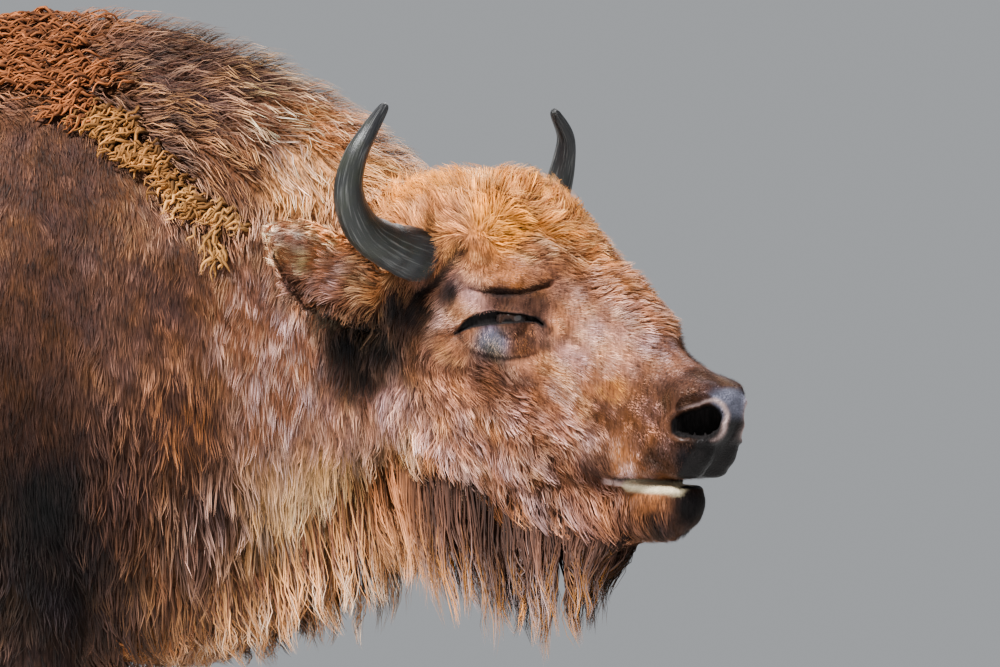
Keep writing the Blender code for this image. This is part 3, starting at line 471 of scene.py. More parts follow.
# The nostril's middle in its own axes, and its edge as a distance from there at each
# direction, in degrees from ahead.
NOSTRIL_MIDDLE = (-0.0036, -0.0105)
NOSTRIL_TURN = (0, 16, 34, 54, 85, 110, 136, 166, 182, 208, 223, 250, 294, 319, 341)
NOSTRIL_REACH = (0.0375, 0.0416, 0.0410, 0.0360, 0.0235, 0.0220, 0.0240, 0.0320, 0.0400, 0.0440,
                 0.0380, 0.0280, 0.0285, 0.0345, 0.0368)
# A distance that counts as nowhere near.
FAR = 9.0


def near_side(points):
    """Places on the straight animal with both sides laid on one, and which side each is on."""
    flat = straightened(points)
    side = np.where(flat[:, 1] < 0, -1.0, 1.0)
    flat[:, 1] *= side
    return flat, side


def from_line(spots, line):
    """Distance from flat spots to a bent line."""
    best = np.full(len(spots), FAR)
    for a, b in zip(np.array(line[:-1]), np.array(line[1:])):
        along = np.clip(((spots - a) @ (b - a)) / ((b - a) @ (b - a)), 0, 1)
        best = np.minimum(best, np.linalg.norm(spots - a - along[:, None] * (b - a), axis=1))
    return best


def face_planes(flat):
    """The same places in the flat axes of the eye, of the nostril and of the head's profile."""
    eye = (flat - EYE) @ EYE_AXES.T
    nose = (flat - NOSTRIL) @ NOSE_AXES.T
    profile = (flat - POLL)[:, (0, 2, 1)]
    eye = np.where(np.abs(eye[:, 2:]) < 0.05, eye, FAR)
    nose = np.where((nose[:, 2:] > -0.11) & (flat[:, 1:2] > 0.012), nose, FAR)
    profile = np.where(flat[:, :1] > 1.45, profile, FAR)
    return {"eye": eye, "nose": nose, "profile": profile}


def within_slit(u, v):
    """How far inside the eye's opening a place is, and less than nought outside it."""
    top = np.interp(u, SLIT_ALONG, SLIT_TOP, -1, -1)
    bottom = np.interp(u, SLIT_ALONG, SLIT_BOTTOM, 1, 1)
    return np.minimum(top - v, v - bottom)


def nostril_ring(nose):
    """One on the nostril's edge, less inside it and more outside."""
    u, v = (nose[:, :2] - NOSTRIL_MIDDLE).T
    turn = np.degrees(np.arctan2(v, u))
    return np.hypot(u, v) / np.interp(turn, NOSTRIL_TURN, NOSTRIL_REACH, period=360)


# Folds: axes, line, half width and how far the skin is pushed out along it, in metres.
FOLDS = [
    ("eye", ((-0.075, 0.078), (-0.015, 0.070), (0.055, 0.078)), 0.012, 0.0075),
    ("eye", ((-0.062, 0.062), (-0.020, 0.053), (0.020, 0.052), (0.060, 0.062)), 0.0042, -0.0085),
    ("eye", ((-0.062, -0.026), (0.012, -0.028)), 0.015, 0.0055),
    ("eye", ((-0.088, -0.012), (-0.062, -0.036), (-0.010, -0.050), (0.035, -0.044)), 0.005, -0.0035),
    ("eye", ((-0.086, -0.004), (-0.100, -0.012)), 0.0036, -0.005),
    ("eye", ((0.040, 0.008), (0.052, 0.000), (0.060, -0.012)), 0.0060, -0.005),
    ("eye", ((0.056, 0.034), (0.070, 0.012), (0.080, -0.014)), 0.007, 0.003),
    ("eye", ((-0.078, 0.120), (-0.100, 0.095), (-0.120, 0.073), (-0.150, 0.056)), 0.010, -0.008),
    ("profile", ((0.283, -0.346), (0.340, -0.350), (0.425, -0.353)), 0.0042, -0.008),
    ("profile", ((0.283, -0.352), (0.333, -0.3595), (0.404, -0.367)), 0.0080, 0.0060),
    ("profile", ((0.300, -0.337), (0.380, -0.336), (0.440, -0.340)), 0.0070, 0.0030),
    ("nose", ((-0.070, 0.012), (-0.045, 0.030), (-0.010, 0.042), (0.020, 0.044)), 0.008, 0.003),
    ("nose", ((-0.075, -0.010), (-0.055, -0.035), (-0.030, -0.052)), 0.009, -0.003),
]


def split(thing, wanted):
    """Cuts each face of a region in four."""
    inside = wanted(near_side(places(thing.data))[0])
    grown = bmesh.new()
    grown.from_mesh(thing.data)
    grown.verts.ensure_lookup_table()
    edges = [e for e in grown.edges if inside[e.verts[0].index] and inside[e.verts[1].index]]
    bmesh.ops.subdivide_edges(grown, edges=edges, cuts=1, use_grid_fill=True)
    grown.to_mesh(thing.data)
    grown.free()


def round_features(flat):
    """The lids, nostrils and lips, with room round them."""
    plane = face_planes(flat)
    profile = plane["profile"]
    lips = (np.abs(profile[:, 1] + 0.365) < 0.024) & (profile[:, 0] > 0.28) & (profile[:, 0] < 1)
    eye = np.hypot(*plane["eye"][:, :2].T) < 0.10
    return eye | (np.hypot(*plane["nose"][:, :2].T) < 0.085) | lips


def on_features(flat):
    """The lid edges and nostril edges themselves."""
    plane = face_planes(flat)
    u, v = plane["eye"][:, :2].T
    return (np.hypot(u / 1.5, v - 0.008) < 0.034) | (np.abs(nostril_ring(plane["nose"]) - 1) < 0.4)


# Soft shifts of the lips and the muzzle's front: where, over how far, and how much, each
# ahead and up from the poll.
NUDGES = [
    ((0.395, -0.385), (0.085, 0.022), (0.004, 0.013)), ((0.330, -0.362), (0.070, 0.020), (0.000, 0.009)),
    ((0.485, -0.328), (0.045, 0.042), (0.015, -0.003)), ((0.445, -0.345), (0.030, 0.020), (0.000, -0.004)),
    ((0.500, -0.290), (0.035, 0.032), (0.008, 0.000)),
    ((0.415, -0.366), (0.024, 0.013), (0.002, 0.007)), ((0.412, -0.350), (0.028, 0.012), (0.000, -0.005))]

split(hide, round_features)
split(hide, on_features)
points = smoothed(hide.data, places(hide.data), rounds=3)
flat, side = near_side(points)
profile = face_planes(flat)["profile"]
for middle, reach, shift in NUDGES:
    share = np.exp(-(((profile[:, :2] - middle) / reach) ** 2).sum(1))
    flat[:, 0] += shift[0] * share
    flat[:, 2] += shift[1] * share
flat[:, 1] *= side
points = turned(flat)
flat, side = near_side(points)
plane = face_planes(flat)
push = np.zeros(len(points))
for axes, line, half, height in FOLDS:
    push += height * np.exp(-(from_line(plane[axes][:, :2], line) / half) ** 2)
ring = nostril_ring(plane["nose"])
push += 0.0040 * np.exp(-((ring - 1.18) / 0.16) ** 2) - 0.020 * (1 - step_up(0.62, 1.02, ring))
points = points + outward(hide.data) * push[:, None]

flat, side = near_side(points)
u, v, h = ((flat - EYE) @ EYE_AXES.T).T
reach = np.hypot(u, v - EYEBALL_UP)
dome = np.sqrt(np.maximum((EYEBALL + LID) ** 2 - reach ** 2, 0)) - EYEBALL_IN
ball = np.sqrt(np.maximum(EYEBALL ** 2 - reach ** 2, 0)) - EYEBALL_IN
front = (np.hypot(u * 0.6, v) < 0.06) & (np.abs(h) < 0.05)
soft = 0.003
lifted = np.where(reach < EYEBALL + LID, np.logaddexp(h / soft, dome / soft) * soft, h)
edge = within_slit(u, v)
rim = 0.0014 * np.exp(-((edge + 0.0016) / 0.0016) ** 2)
opened = step_up(-0.0006, 0.0010, edge)
floor_of_slit = np.where(reach < EYEBALL - 0.002, ball - 0.004, h - 0.006)
target = (lifted + rim) * (1 - opened) + floor_of_slit * opened
moved = np.where(front, target - h, 0)
flat += moved[:, None] * EYE_AXES[2]
flat[:, 1] *= side
points = turned(flat)
put(hide.data, points)
hide.data.shade_smooth()

# The unwrap of the hide, from its own shape. The coat's tufts take their places from it too.
bpy.context.view_layer.objects.active = hide
hide.select_set(True)
hide.data.uv_layers.new(name="OFBake")
bpy.ops.object.mode_set(mode="EDIT")
bpy.ops.mesh.select_all(action="SELECT")
bpy.ops.uv.smart_project(angle_limit=math.radians(66), island_margin=0.001)
bpy.ops.object.mode_set(mode="OBJECT")
hide.select_set(False)

# The colours of hide and hair.
# Hide and hair are painted alike: the map's colours first, with an unevenness that follows the
# body, then the dark and pale marks of lids, nostrils and lips, some of them painted shade in
# creases and gaps and painted highlights on the wet nose. A mark says on which axes it lies, along
# what line, how wide, its colour and strength, and whether the skin is bare there.
MARKS = [
    # The first two eye marks are painted shade: in the brow's crease and in the groove behind it.
    ("eye", ((-0.040, 0.056), (-0.010, 0.053), (0.020, 0.052), (0.052, 0.062)), 0.0080, "pitch", 0.75, 0),
    ("eye", ((-0.078, 0.120), (-0.100, 0.095), (-0.120, 0.073), (-0.150, 0.056)), 0.0110, "pitch", 0.85, 0),
    ("eye", ((-0.084, -0.004), (-0.094, -0.010)), 0.0040, "pitch", 0.90, 1),
    ("eye", ((0.040, 0.010), (0.052, 0.000)), 0.0055, "pitch", 0.80, 1),
    ("eye", ((0.044, 0.004), (0.058, -0.010), (0.052, -0.030)), 0.0100, "black", 0.60, 0),
    ("eye", ((0.020, 0.036), (0.045, 0.030)), 0.0120, "umber", 0.60, 0),
    ("eye", ((-0.086, -0.014), (-0.066, -0.038), (-0.030, -0.050), (0.022, -0.048)), 0.0060,
     "pitch", 0.55, 0),
    # The lips' dark edges, with painted shade in the gap between them.
    ("profile", ((0.300, -0.348), (0.345, -0.3505), (0.430, -0.3535)), 0.0045, "pitch", 1.0, 1),
    ("profile", ((0.283, -0.3520), (0.320, -0.3560), (0.365, -0.3600)), 0.0045, "lilac", 0.60, 1),
    ("profile", ((0.318, -0.3580), (0.360, -0.3610), (0.402, -0.3625)), 0.0095, "straw", 0.80, 1),
]
# How far ahead of the poll the bare nose begins, at each height.
PAD_UP = (-0.372, -0.362, -0.345, -0.330, -0.300, -0.250, -0.200)
PAD_EDGE = (0.560, 0.400, 0.405, 0.422, 0.445, 0.458, 0.473)


def on_pad(ahead, up, chin_start, chin_end):
    """One on the bare nose pad and on the front of the chin."""
    pad = step_up(-0.006, 0.006, ahead - np.interp(up, PAD_UP, PAD_EDGE))
    return np.maximum(pad, step_up(chin_start, chin_end, ahead) * step_up(-0.355, -0.385, up))


def bare_at(flat):
    """How bare the skin is: one on the nose pad, the nostrils, the lips' edges and the slit."""
    plane = face_planes(flat)
    ahead, up = (flat - POLL)[:, 0], (flat - POLL)[:, 2]
    ring = nostril_ring(plane["nose"])
    pad = on_pad(ahead, up, 0.410, 0.438)
    nostril = 1 - step_up(1.12, 1.24, ring)
    rim = (1 - step_up(1.25, 1.42, ring)) * step_up(-0.01, 0.01, plane["nose"][:, 0])
    slit = step_up(-0.0045, -0.0020, within_slit(*plane["eye"][:, :2].T))
    bare = np.maximum.reduce([pad, nostril, rim, slit])
    for axes, line, half, _, strength, bald in MARKS:
        if bald:
            away = from_line(plane[axes][:, :2], line)
            bare = np.maximum(bare, 1 - step_up(half * 0.9, half * 1.4, away))
    return bare


def waves(points, size, seed):
    """Smooth unevenness over the body, from minus one to one, as a few crossing waves."""
    random = np.random.default_rng(seed)
    total = np.zeros(len(points))
    for turn in range(7):
        way = random.normal(size=3)
        way *= 2 * math.pi / (size * random.uniform(0.6, 1.6)) / np.linalg.norm(way)
        total += np.sin(points @ way + random.uniform(0, 2 * math.pi))
    return total / 3.2


def laid_over(colour, over, share):
    """A colour, or a colour's name, laid over others by a share."""
    over = np.array(COLOURS[over] if isinstance(over, str) else over)
    return colour * (1 - share[:, None]) + over * share[:, None]


def painted(points, colour):
    """Marks and unevenness laid over the map's colours, painted shade and painted highlights among them."""
    flat, side = near_side(points)
    plane = face_planes(flat)
    broad, fine = waves(points, 0.16, 3), waves(points, 0.035, 4)
    columns = waves(flat * (1, 1, 0.22), 0.020, 12) * step_up(1.12, 1.02, flat[:, 0])
    hue = np.clip(waves(points, 0.060, 13), -1.2, 1.2)[:, None]
    colour = colour * (1 + np.array((0.05, -0.02, -0.26)) * hue)
    colour = colour * (1 + 0.14 * broad + 0.10 * fine + 0.20 * columns)[:, None]
    # Painted shade: a dark patch behind the right shoulder, on the right side only.
    shoulder_painted_shade = np.exp(-((flat[:, 0] - 0.61) / 0.10) ** 2 - ((flat[:, 2] - 1.00) / 0.17) ** 2)
    colour = colour * (1 - 0.72 * shoulder_painted_shade * (side < 0))[:, None]
    for axes, line, half, name, strength, _ in MARKS:
        away = from_line(plane[axes][:, :2], line)
        colour = laid_over(colour, name, strength * (1 - step_up(half * 0.5, half * 1.3, away)))
    ahead, up = (flat - POLL)[:, 0], (flat - POLL)[:, 2]
    # The nose pad is pitch, and its top is a light slate: a painted reflection of the sky on wet skin.
    top = step_up(-0.262, -0.238, up)[:, None]
    pad_colour_with_painted_sky = np.array(COLOURS["pitch"]) * (1 - top) + np.array(COLOURS["slate"]) * top * 1.6
    colour = laid_over(colour, pad_colour_with_painted_sky, on_pad(ahead, up, 0.405, 0.440))
    # Painted highlight on the nostril's rim, strongest on its upper front; painted shade inside it.
    ring = nostril_ring(plane["nose"])
    u, v = (plane["nose"][:, :2] - NOSTRIL_MIDDLE).T
    toward = np.cos(np.arctan2(v, u) - math.radians(50))
    rim = np.exp(-((ring - 1.17) / 0.10) ** 2) * 0.85 * np.clip(toward * 1.2 + 0.35, 0, 1)
    colour = laid_over(colour, np.array(COLOURS["lilac"]) * 0.8, rim)
    colour = laid_over(colour, "pitch", 1 - step_up(0.90, 1.06, ring))
    # The eye's opening round the eyeball is painted pitch: painted shade in its recess.
    slit = step_up(-0.0034, -0.0006, within_slit(*plane["eye"][:, :2].T))
    return np.clip(laid_over(colour, "pitch", slit), 0.003, 0.9)


def tint(mesh, name, colours):
    """Keeps a colour for each point of a mesh."""
    layer = mesh.color_attributes.new(name, "FLOAT_COLOR", "POINT")
    layer.data.foreach_set("color", np.column_stack([colours, np.ones(len(colours))]).ravel())


points = places(hide.data)
coat = coat_at(points)
bare = bare_at(near_side(points)[0])
short = 1 - step_up(0.008, 0.020, coat["depth"])
# The hide is painted at about six tenths of the hair's colour: painted shade under the coat.
tint(hide.data, "coat", painted(points, coat["body"] * (0.60 + 0.05 * short)[:, None]))
plane = face_planes(near_side(points)[0])
lid_gap = (np.hypot(plane["eye"][:, 0] * 0.6, plane["eye"][:, 1] - 0.01) < 0.045) * 0.85
wet = bare * step_up(0.92, 1.08, nostril_ring(plane["nose"])) * (1 - lid_gap)
layer = hide.data.attributes.new("bare", "FLOAT", "POINT")
layer.data.foreach_set("value", wet)


# Shader sums are written as sums on sockets.
class Wire:
    """A shader socket that can be added, multiplied and so on."""

    def __init__(self, tree, socket):
        self.tree = tree
        self.socket = socket

    def node(self, kind, settings=None, out=0, **inputs):
        """Adds a node: its settings first, then its sockets by name or number."""
        made = self.tree.nodes.new(kind)
        for key, value in (settings or {}).items():
            if key == "stops":
                while len(made.color_ramp.elements) < len(value):
                    made.color_ramp.elements.new(0.5)
                for stop, (at, colour) in zip(made.color_ramp.elements, value):
                    stop.position = at
                    stop.color = (*colour, 1) if len(colour) == 3 else colour
            else:
                setattr(made, key, value)
        for key, value in inputs.items():
            socket = made.inputs[int(key[1:]) if key[0] == "i" and key[1:].isdigit() else
                                 key.replace("_", " ")]
            if isinstance(value, Wire):
                self.tree.links.new(value.socket, socket)
            else:
                socket.default_value = value
        return Wire(self.tree, made.outputs[out])

    def sum(self, operation, first, second):
        """Two wires or numbers put together."""
        return self.node("ShaderNodeMath", {"operation": operation}, i0=first, i1=second)

    def __add__(self, other):
        return self.sum("ADD", self, other)

    def __sub__(self, other):
        return self.sum("SUBTRACT", self, other)

    def __rsub__(self, other):
        return self.sum("SUBTRACT", other, self)

    def __mul__(self, other):
        return self.sum("MULTIPLY", self, other)

    __radd__ = __add__
    __rmul__ = __mul__


def finish_of(name, roughness, specular=0.3, **fixed):
    """A new material: its first wire, and its shader with constants set on the sockets."""
    material = bpy.data.materials.new(name)
    material.use_nodes = True
    tree = material.node_tree
    shader = tree.nodes["Principled BSDF"]
    shader.inputs["Roughness"].default_value = roughness
    shader.inputs["Specular IOR Level"].default_value = specular
    for key, value in fixed.items():
        shader.inputs[key.replace("_", " ")].default_value = value
    return material, Wire(tree, None), shader


def feed(shader, wire, name):
    """Leads a wire into one of the shader's sockets."""
    wire.tree.links.new(wire.socket, shader.inputs[name])


def mixed(start, share, one, two, blend="MIX"):
    """Two colours mixed by a share."""
    return start.node("ShaderNodeMix", {"data_type": "RGBA", "blend_type": blend}, out=2,
                      i0=share, i6=one, i7=two)


def shaded(start, colour, shade):
    """A colour made lighter or darker by a number."""
    grey = start.node("ShaderNodeCombineColor", Red=shade, Green=shade, Blue=shade)
    return mixed(start, 1.0, colour, grey, "MULTIPLY")


# The hide's own finish: short flat hair as fine streaks, and wet pitted skin where it is bare.
hide_finish, start, shader = finish_of("hide", 0.6, 0.05)
colour = start.node("ShaderNodeAttribute", {"attribute_name": "coat"})
is_bare = start.node("ShaderNodeAttribute", {"attribute_name": "bare"}, out=2)
place = start.node("ShaderNodeTexCoord", out=3)
drawn = start.node("ShaderNodeMapping", Vector=place, Scale=(260, 260, 45))
streaks = start.node("ShaderNodeTexNoise", Vector=drawn, Scale=1.0, Detail=3.0)
pits = start.node("ShaderNodeTexVoronoi", Vector=place, Scale=320.0)
grain = start.node("ShaderNodeTexNoise", Vector=place, Scale=140.0, Detail=4.0)
dark = start.node("ShaderNodeMapRange", Value=streaks, i1=0.3, i2=0.7, i3=0.35, i4=1.45)
worn = start.node("ShaderNodeMapRange", Value=grain, i1=0.3, i2=0.7, i3=0.8, i4=1.2)
shade = dark * (1 - is_bare) + worn * is_bare
feed(shader, shaded(start, colour, shade), "Base Color")
feed(shader, 0.75 - is_bare * 0.28 + (grain - 0.5) * 0.2, "Roughness")
feed(shader, is_bare * 0.04, "Coat Weight")
shader.inputs["Coat Roughness"].default_value = 0.25
height = streaks * (1 - is_bare) + (pits * 0.6 + grain * 0.5) * is_bare
bump = start.node("ShaderNodeBump", Strength=0.7, Distance=0.003, Height=height)
feed(shader, bump, "Normal")
hide.data.materials.clear()
hide.data.materials.append(hide_finish)
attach(hide, "root")
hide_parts(*FLESH)

# The coat.
# Every tuft is a thin three-sided lock, closed at the root, that leaves the hide and lies along
# it to a point. Tufts near each other draw together, so that locks and gaps show between them.
hide.data.calc_loop_triangles()


def of_triangles(what):
    """The point or the loop at each corner of the hide's triangles."""
    found = np.empty(len(hide.data.loop_triangles) * 3, dtype=np.int32)
    hide.data.loop_triangles.foreach_get(what, found)
    return found.reshape(-1, 3)


corners = of_triangles("vertices")
corner_loops = of_triangles("loops")
hide_places = places(hide.data)
hide_normals = outward(hide.data)
hide_uv = np.empty(len(hide.data.loops) * 2)
hide.data.uv_layers["OFBake"].data.foreach_get("uv", hide_uv)
hide_uv = hide_uv.reshape(-1, 2)
hide_tree = BVHTree.FromPolygons(hide_places.tolist(), corners.tolist())
spread = hide_places[corners]
face_normals = np.cross(spread[:, 1] - spread[:, 0], spread[:, 2] - spread[:, 0])
face_area = np.linalg.norm(face_normals, axis=1) / 2
face_normals /= np.maximum(face_area * 2, 1e-12)[:, None]
centres = spread.mean(1)
centre_coat = coat_at(centres)
TUFT_PATCH = 0.003
ROOT_DEPTH = 0.0015
ROOT_SHADE = 0.38


def unit(vectors):
    """Vectors brought to length one."""
    return vectors / np.maximum(np.linalg.norm(vectors, axis=1), 1e-9)[:, None]


def on_hide(points):
    """The nearest places on the hide, and the way out of it there."""
    found = [hide_tree.find_nearest(point) for point in points.tolist()]
    spots = np.array([hit[0] for hit in found])
    return spots, face_normals[np.array([hit[2] for hit in found])]


def sown(where, random, thick=1.0):
    """Roots scattered over some of the hide's triangles, as thick as the map says."""
    wanted = face_area * centre_coat["crowd"] * thick * where
    wanted *= 1 - bare_at(centre_coat["flat"])
    number = np.floor(wanted + random.random(len(wanted))).astype(int)
    face = np.repeat(np.arange(len(wanted)), number)
    a, b = random.random((2, len(face)))
    over = a + b > 1
    a[over], b[over] = 1 - a[over], 1 - b[over]
    weights = np.stack([1 - a - b, a, b], 1)[:, :, None]
    roots = (spread[face] * weights).sum(1)
    normal = unit((hide_normals[corners[face]] * weights).sum(1))
    uv = (hide_uv[corner_loops[face]] * weights).sum(1)
    return roots, normal, uv


def drawn_together(paths, roots, random, share, pull):
    """Bends each tuft toward the tuft at the middle of its lock, more so at its tip."""
    heads = np.flatnonzero(random.random(len(roots)) < share)
    tree = KDTree(len(heads))
    for number, head in enumerate(heads):
        tree.insert(roots[head], number)
    tree.balance()
    own = heads[[tree.find(root)[1] for root in roots.tolist()]]
    steps = paths.shape[1]
    for step in range(1, steps):
        toward = (step / (steps - 1)) ** 1.4 * pull[:, None]
        paths[:, step] += (paths[own, step] - paths[:, step]) * toward
    return own


def combed(roots, normal, look, rings, random):
    """The middle line of every tuft, from just under the hide to its tip."""
    number = len(roots)
    length = look["length"] * random.uniform(0.75, 1.25, number)
    layer = random.uniform(0.25, 1.08, number)
    spot, out = roots, normal
    path = [roots - normal * ROOT_DEPTH]
    side_turn = (random.normal(0, 0.09, number) + 0.22 * waves(roots, 0.06, 7))[:, None]
    here, free, loose = look, roots, look["loose"][:, None]
    phase = math.pi * (waves(roots, 0.08, 8) + waves(roots, 0.03, 9) * 0.7)
    phase = phase + random.normal(0, 0.5, number)
    turns = random.uniform(0.85, 1.15, number)
    for step in range(1, rings + 1):
        along = step / rings
        way = unit(here["lie"] - out * (here["lie"] * out).sum(1)[:, None])
        across = np.cross(out, way)
        way = unit(way + across * side_turn)
        stride = way * (length / rings * (1 - 0.35 * look["lift"]))[:, None]
        spot, out = on_hide(spot + stride)
        free = free + stride
        rise = look["depth"] * layer * math.sin(min(along * 1.7, 1) * math.pi / 2)
        rise = rise + look["lift"] * length * along ** 1.6 * 0.45
        wave = look["wave"] * np.sin(along * 2 * math.pi * turns * 1.3 + phase) * (along + 0.3)
        ripple = look["wave"] * np.cos(along * 2 * math.pi * turns * 1.1 + phase) * 0.35
        laid = spot * (1 - loose) + free * loose
        path.append(laid + out * (rise + ripple)[:, None] + across * wave[:, None])
        if step < rings:
            here = coat_at(spot)
    return np.stack(path, 1)


def tufts(name, paths, out, width, uv, body, tip, random, sides=3, blunt=0.0, flat=0.28,
          soften=0.62, pale_from=0.25):
    """One mesh of closed tapering tufts along their middle lines, lit partly as the body is."""
    number, points = paths.shape[:2]
    rings = points - 1
    along = np.linspace(0, 1, points) ** 1.1
    ahead = np.gradient(paths, axis=1)
    ahead /= np.maximum(np.linalg.norm(ahead, axis=2, keepdims=True), 1e-9)
    across = np.cross(ahead, out[:, None, :])
    across /= np.maximum(np.linalg.norm(across, axis=2, keepdims=True), 1e-9)
    up = np.cross(across, ahead)
    girth = (1 - along[:rings]) ** 0.75 * (1 - blunt) + blunt
    girth[0] *= 0.75
    turn = np.arange(sides) / sides * 2 * math.pi + math.pi / 2
    aside = np.cos(turn)[:, None] * across[:, :rings, None, :]
    above = np.sin(turn)[:, None] * up[:, :rings, None, :]
    facing = (0.7 * aside + above) * (1 - soften) + out[:, None, None, :] * soften
    facing = np.concatenate([facing.reshape(number, -1, 3), facing[:, -1].mean(1)[:, None]], 1)
    half = (width[:, None] * girth[None, :] * 0.5)[:, :, None, None]
    ring = paths[:, :rings, None, :] + (aside + flat * above) * half
    per = rings * sides + 1
    spots = np.concatenate([ring.reshape(number, -1, 3), paths[:, -1:, :]], 1).reshape(-1, 3)
    faces = [(0, side + 1, side) for side in range(1, sides - 1)]
    for row in range(rings):
        for side in range(sides):
            a, b = row * sides + side, row * sides + (side + 1) % sides
            if row < rings - 1:
                faces += [(a, b, b + sides), (a, b + sides, a + sides)]
            else:
                faces += [(a, b, per - 1)]
    faces = np.array(faces)[:, ::-1]
    corners_of = (faces[None] + (np.arange(number) * per)[:, None, None]).reshape(-1)
    mesh = bpy.data.meshes.new(name)
    mesh.vertices.add(len(spots))
    mesh.vertices.foreach_set("co", spots.ravel())
    mesh.loops.add(len(corners_of))
    mesh.loops.foreach_set("vertex_index", corners_of.astype(np.int32))
    mesh.polygons.add(len(corners_of) // 3)
    mesh.polygons.foreach_set("loop_start", np.arange(0, len(corners_of), 3, dtype=np.int32))
    mesh.update(calc_edges=True)
    mesh.shade_smooth()
    if soften:
        mesh.normals_split_custom_set_from_vertices(unit(facing.reshape(-1, 3)))
    share = np.append(np.repeat(along[:rings], sides), 1.0)
    over = np.append(np.tile((np.cos(turn) + 1) / 2, rings), 0.5)
    patch = np.stack([over - 0.5, share - 0.5], 1) * TUFT_PATCH
    laid = np.clip(uv[:, None, :] + patch[None], 0.001, 0.999).reshape(-1, 2)
    mesh.uv_layers.new(name="OFBake").data.foreach_set("uv", laid[corners_of].ravel())
    blend = step_up(pale_from, 1.0, share)[None, :, None]
    colours = body[:, None, :] * (1 - blend) + tip[:, None, :] * blend
    colours = colours * (ROOT_SHADE + (1 - ROOT_SHADE) * step_up(0.0, 0.50, share))[None, :, None]
    tint(mesh, "coat", colours.reshape(-1, 3))
    strand = np.empty((number, per, 3))
    strand[:, :, 0] = over
    strand[:, :, 1] = share
    strand[:, :, 2] = random.random(number)[:, None] * 50
    layer = mesh.attributes.new("strand", "FLOAT_VECTOR", "POINT")
    layer.data.foreach_set("vector", strand.ravel())
    return linked(name, mesh)


def hair_finish(name, roughness, sheen):
    """Hair: fine streaks along each tuft, a little sheen, and painted shade in the gaps between hairs."""
    material, start, shader = finish_of(
        name, roughness, 0.12, Sheen_Weight=sheen, Sheen_Roughness=0.4,
        Sheen_Tint=(1.0, 0.70, 0.45, 1.0))
    colour = start.node("ShaderNodeAttribute", {"attribute_name": "coat"})
    strand = start.node("ShaderNodeAttribute", {"attribute_name": "strand"}, out=1)
    drawn = start.node("ShaderNodeMapping", Vector=strand, Scale=(5.5, 1.3, 1.0))
    hairs = start.node("ShaderNodeTexNoise", Vector=drawn, Scale=1.0, Detail=2.0)
    shade = start.node("ShaderNodeMapRange", Value=hairs, i1=0.32, i2=0.68, i3=0.30, i4=1.75)
    feed(shader, shaded(start, colour, shade), "Base Color")
    feed(shader, start.node("ShaderNodeBump", Strength=0.4, Distance=0.0006, Height=hairs),
         "Normal")
    return material


coat_finish = hair_finish("coat_hair", 0.6, 0.04)


def coat_piece(name, where, seed, rings, thick, lock=0.10, hold=0.65, fine=1.0):
    """Sows, combs and paints the tufts of one part of the coat.

    Each has so many rings and is as thick and as fine as asked beside the map, and a share of
    them are locks that hold the others to them."""
    random = np.random.default_rng(seed)
    roots, normal, uv = sown(where, random, thick)
    look = coat_at(roots)
    ahead, out, _ = look["flat"].T
    ear = step_up(0.19, 0.22, out + 0.6 * np.minimum(ahead - 1.09, 0))
    look["loose"] = ear * step_up(0.15, -0.35, normal[:, 2])
    paths = combed(roots, normal, look, rings, random)
    pull = np.clip(look["length"] / 0.05, 0.1, 1.0) * hold
    own = drawn_together(paths, roots, random, lock, pull)
    tone = random.normal(0, 0.24, len(roots)) + random.normal(0, 0.34, len(roots))[own]
    tone = tone + 0.16 * waves(roots, 0.022, 11)
    head = step_up(1.05, 1.20, ahead) * (1 - ear)
    # The ear's hair is painted much lighter, bodies and tips: painted light on an ear that lies in shade.
    body_gain_with_ear_light = 0.92 - 0.10 * head + 0.5 * ear
    body = painted(roots, look["body"]) * (body_gain_with_ear_light * np.exp(tone))[:, None]
    pale = 1.02 + 0.24 * head + 0.9 * ear
    tip = painted(roots, look["tip"]) * (pale * np.exp(tone * 0.8))[:, None]
    bright = step_up(-0.6, 0.8, waves(roots, 0.035, 10) + random.normal(0, 0.45, len(roots)))
    tip = body + (tip - body) * bright[:, None]
    width = look["width"] * fine * random.uniform(0.55, 1.2, len(roots))
    lit = unit(normal + ear[:, None] * (0.0, 0.0, 0.9))
    made = tufts(name, paths, lit, width, uv, body, tip, random)
    made.data.materials.append(coat_finish)
    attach(made, "root")


# The coat's pieces: where the head, the neck and the legs begin, and what counts as short.
HEAD_FROM, NECK_FROM, LEGS_TO = 1.13, 0.42, 0.80
flat_centres = centre_coat["flat"]
centre_side = np.where(straightened(centres)[:, 1] < 0, -1.0, 1.0)
centre_ahead, centre_up = flat_centres[:, 0], flat_centres[:, 2]
short = centre_coat["length"] < 0.020
felted = centre_coat["length"] < 0.034
for seed, (side_name, side) in enumerate(SIDES.items()):
    on_side = centre_side == side
    head = on_side & (centre_ahead > HEAD_FROM)
    body = on_side & (centre_ahead <= HEAD_FROM)
    neck = body & (centre_ahead > NECK_FROM) & (centre_up > LEGS_TO)
    limbs = body & (centre_up < LEGS_TO)
    trunk = body & (centre_ahead <= NECK_FROM) & (centre_up >= LEGS_TO)
    coat_piece(f"coat_face_{side_name}", head & short, 20 + seed,
               rings=1, thick=1.65, lock=0.06, hold=0.50, fine=0.75)
    coat_piece(f"coat_head_{side_name}", head & ~short, 30 + seed,
               rings=2, thick=0.88, lock=0.07, hold=0.60)
    coat_piece(f"coat_neck_{side_name}", neck & felted, 40 + seed,
               rings=1, thick=1.55, lock=0.05, hold=0.50, fine=0.78)
    coat_piece(f"coat_mane_{side_name}", neck & ~felted, 45 + seed,
               rings=2, thick=0.69, lock=0.10, hold=0.50)
    coat_piece(f"coat_trunk_{side_name}", trunk, 50 + seed,
               rings=2, thick=0.30, lock=0.25, hold=0.40)
    coat_piece(f"coat_legs_{side_name}", limbs, 60 + seed, rings=2, thick=0.22)

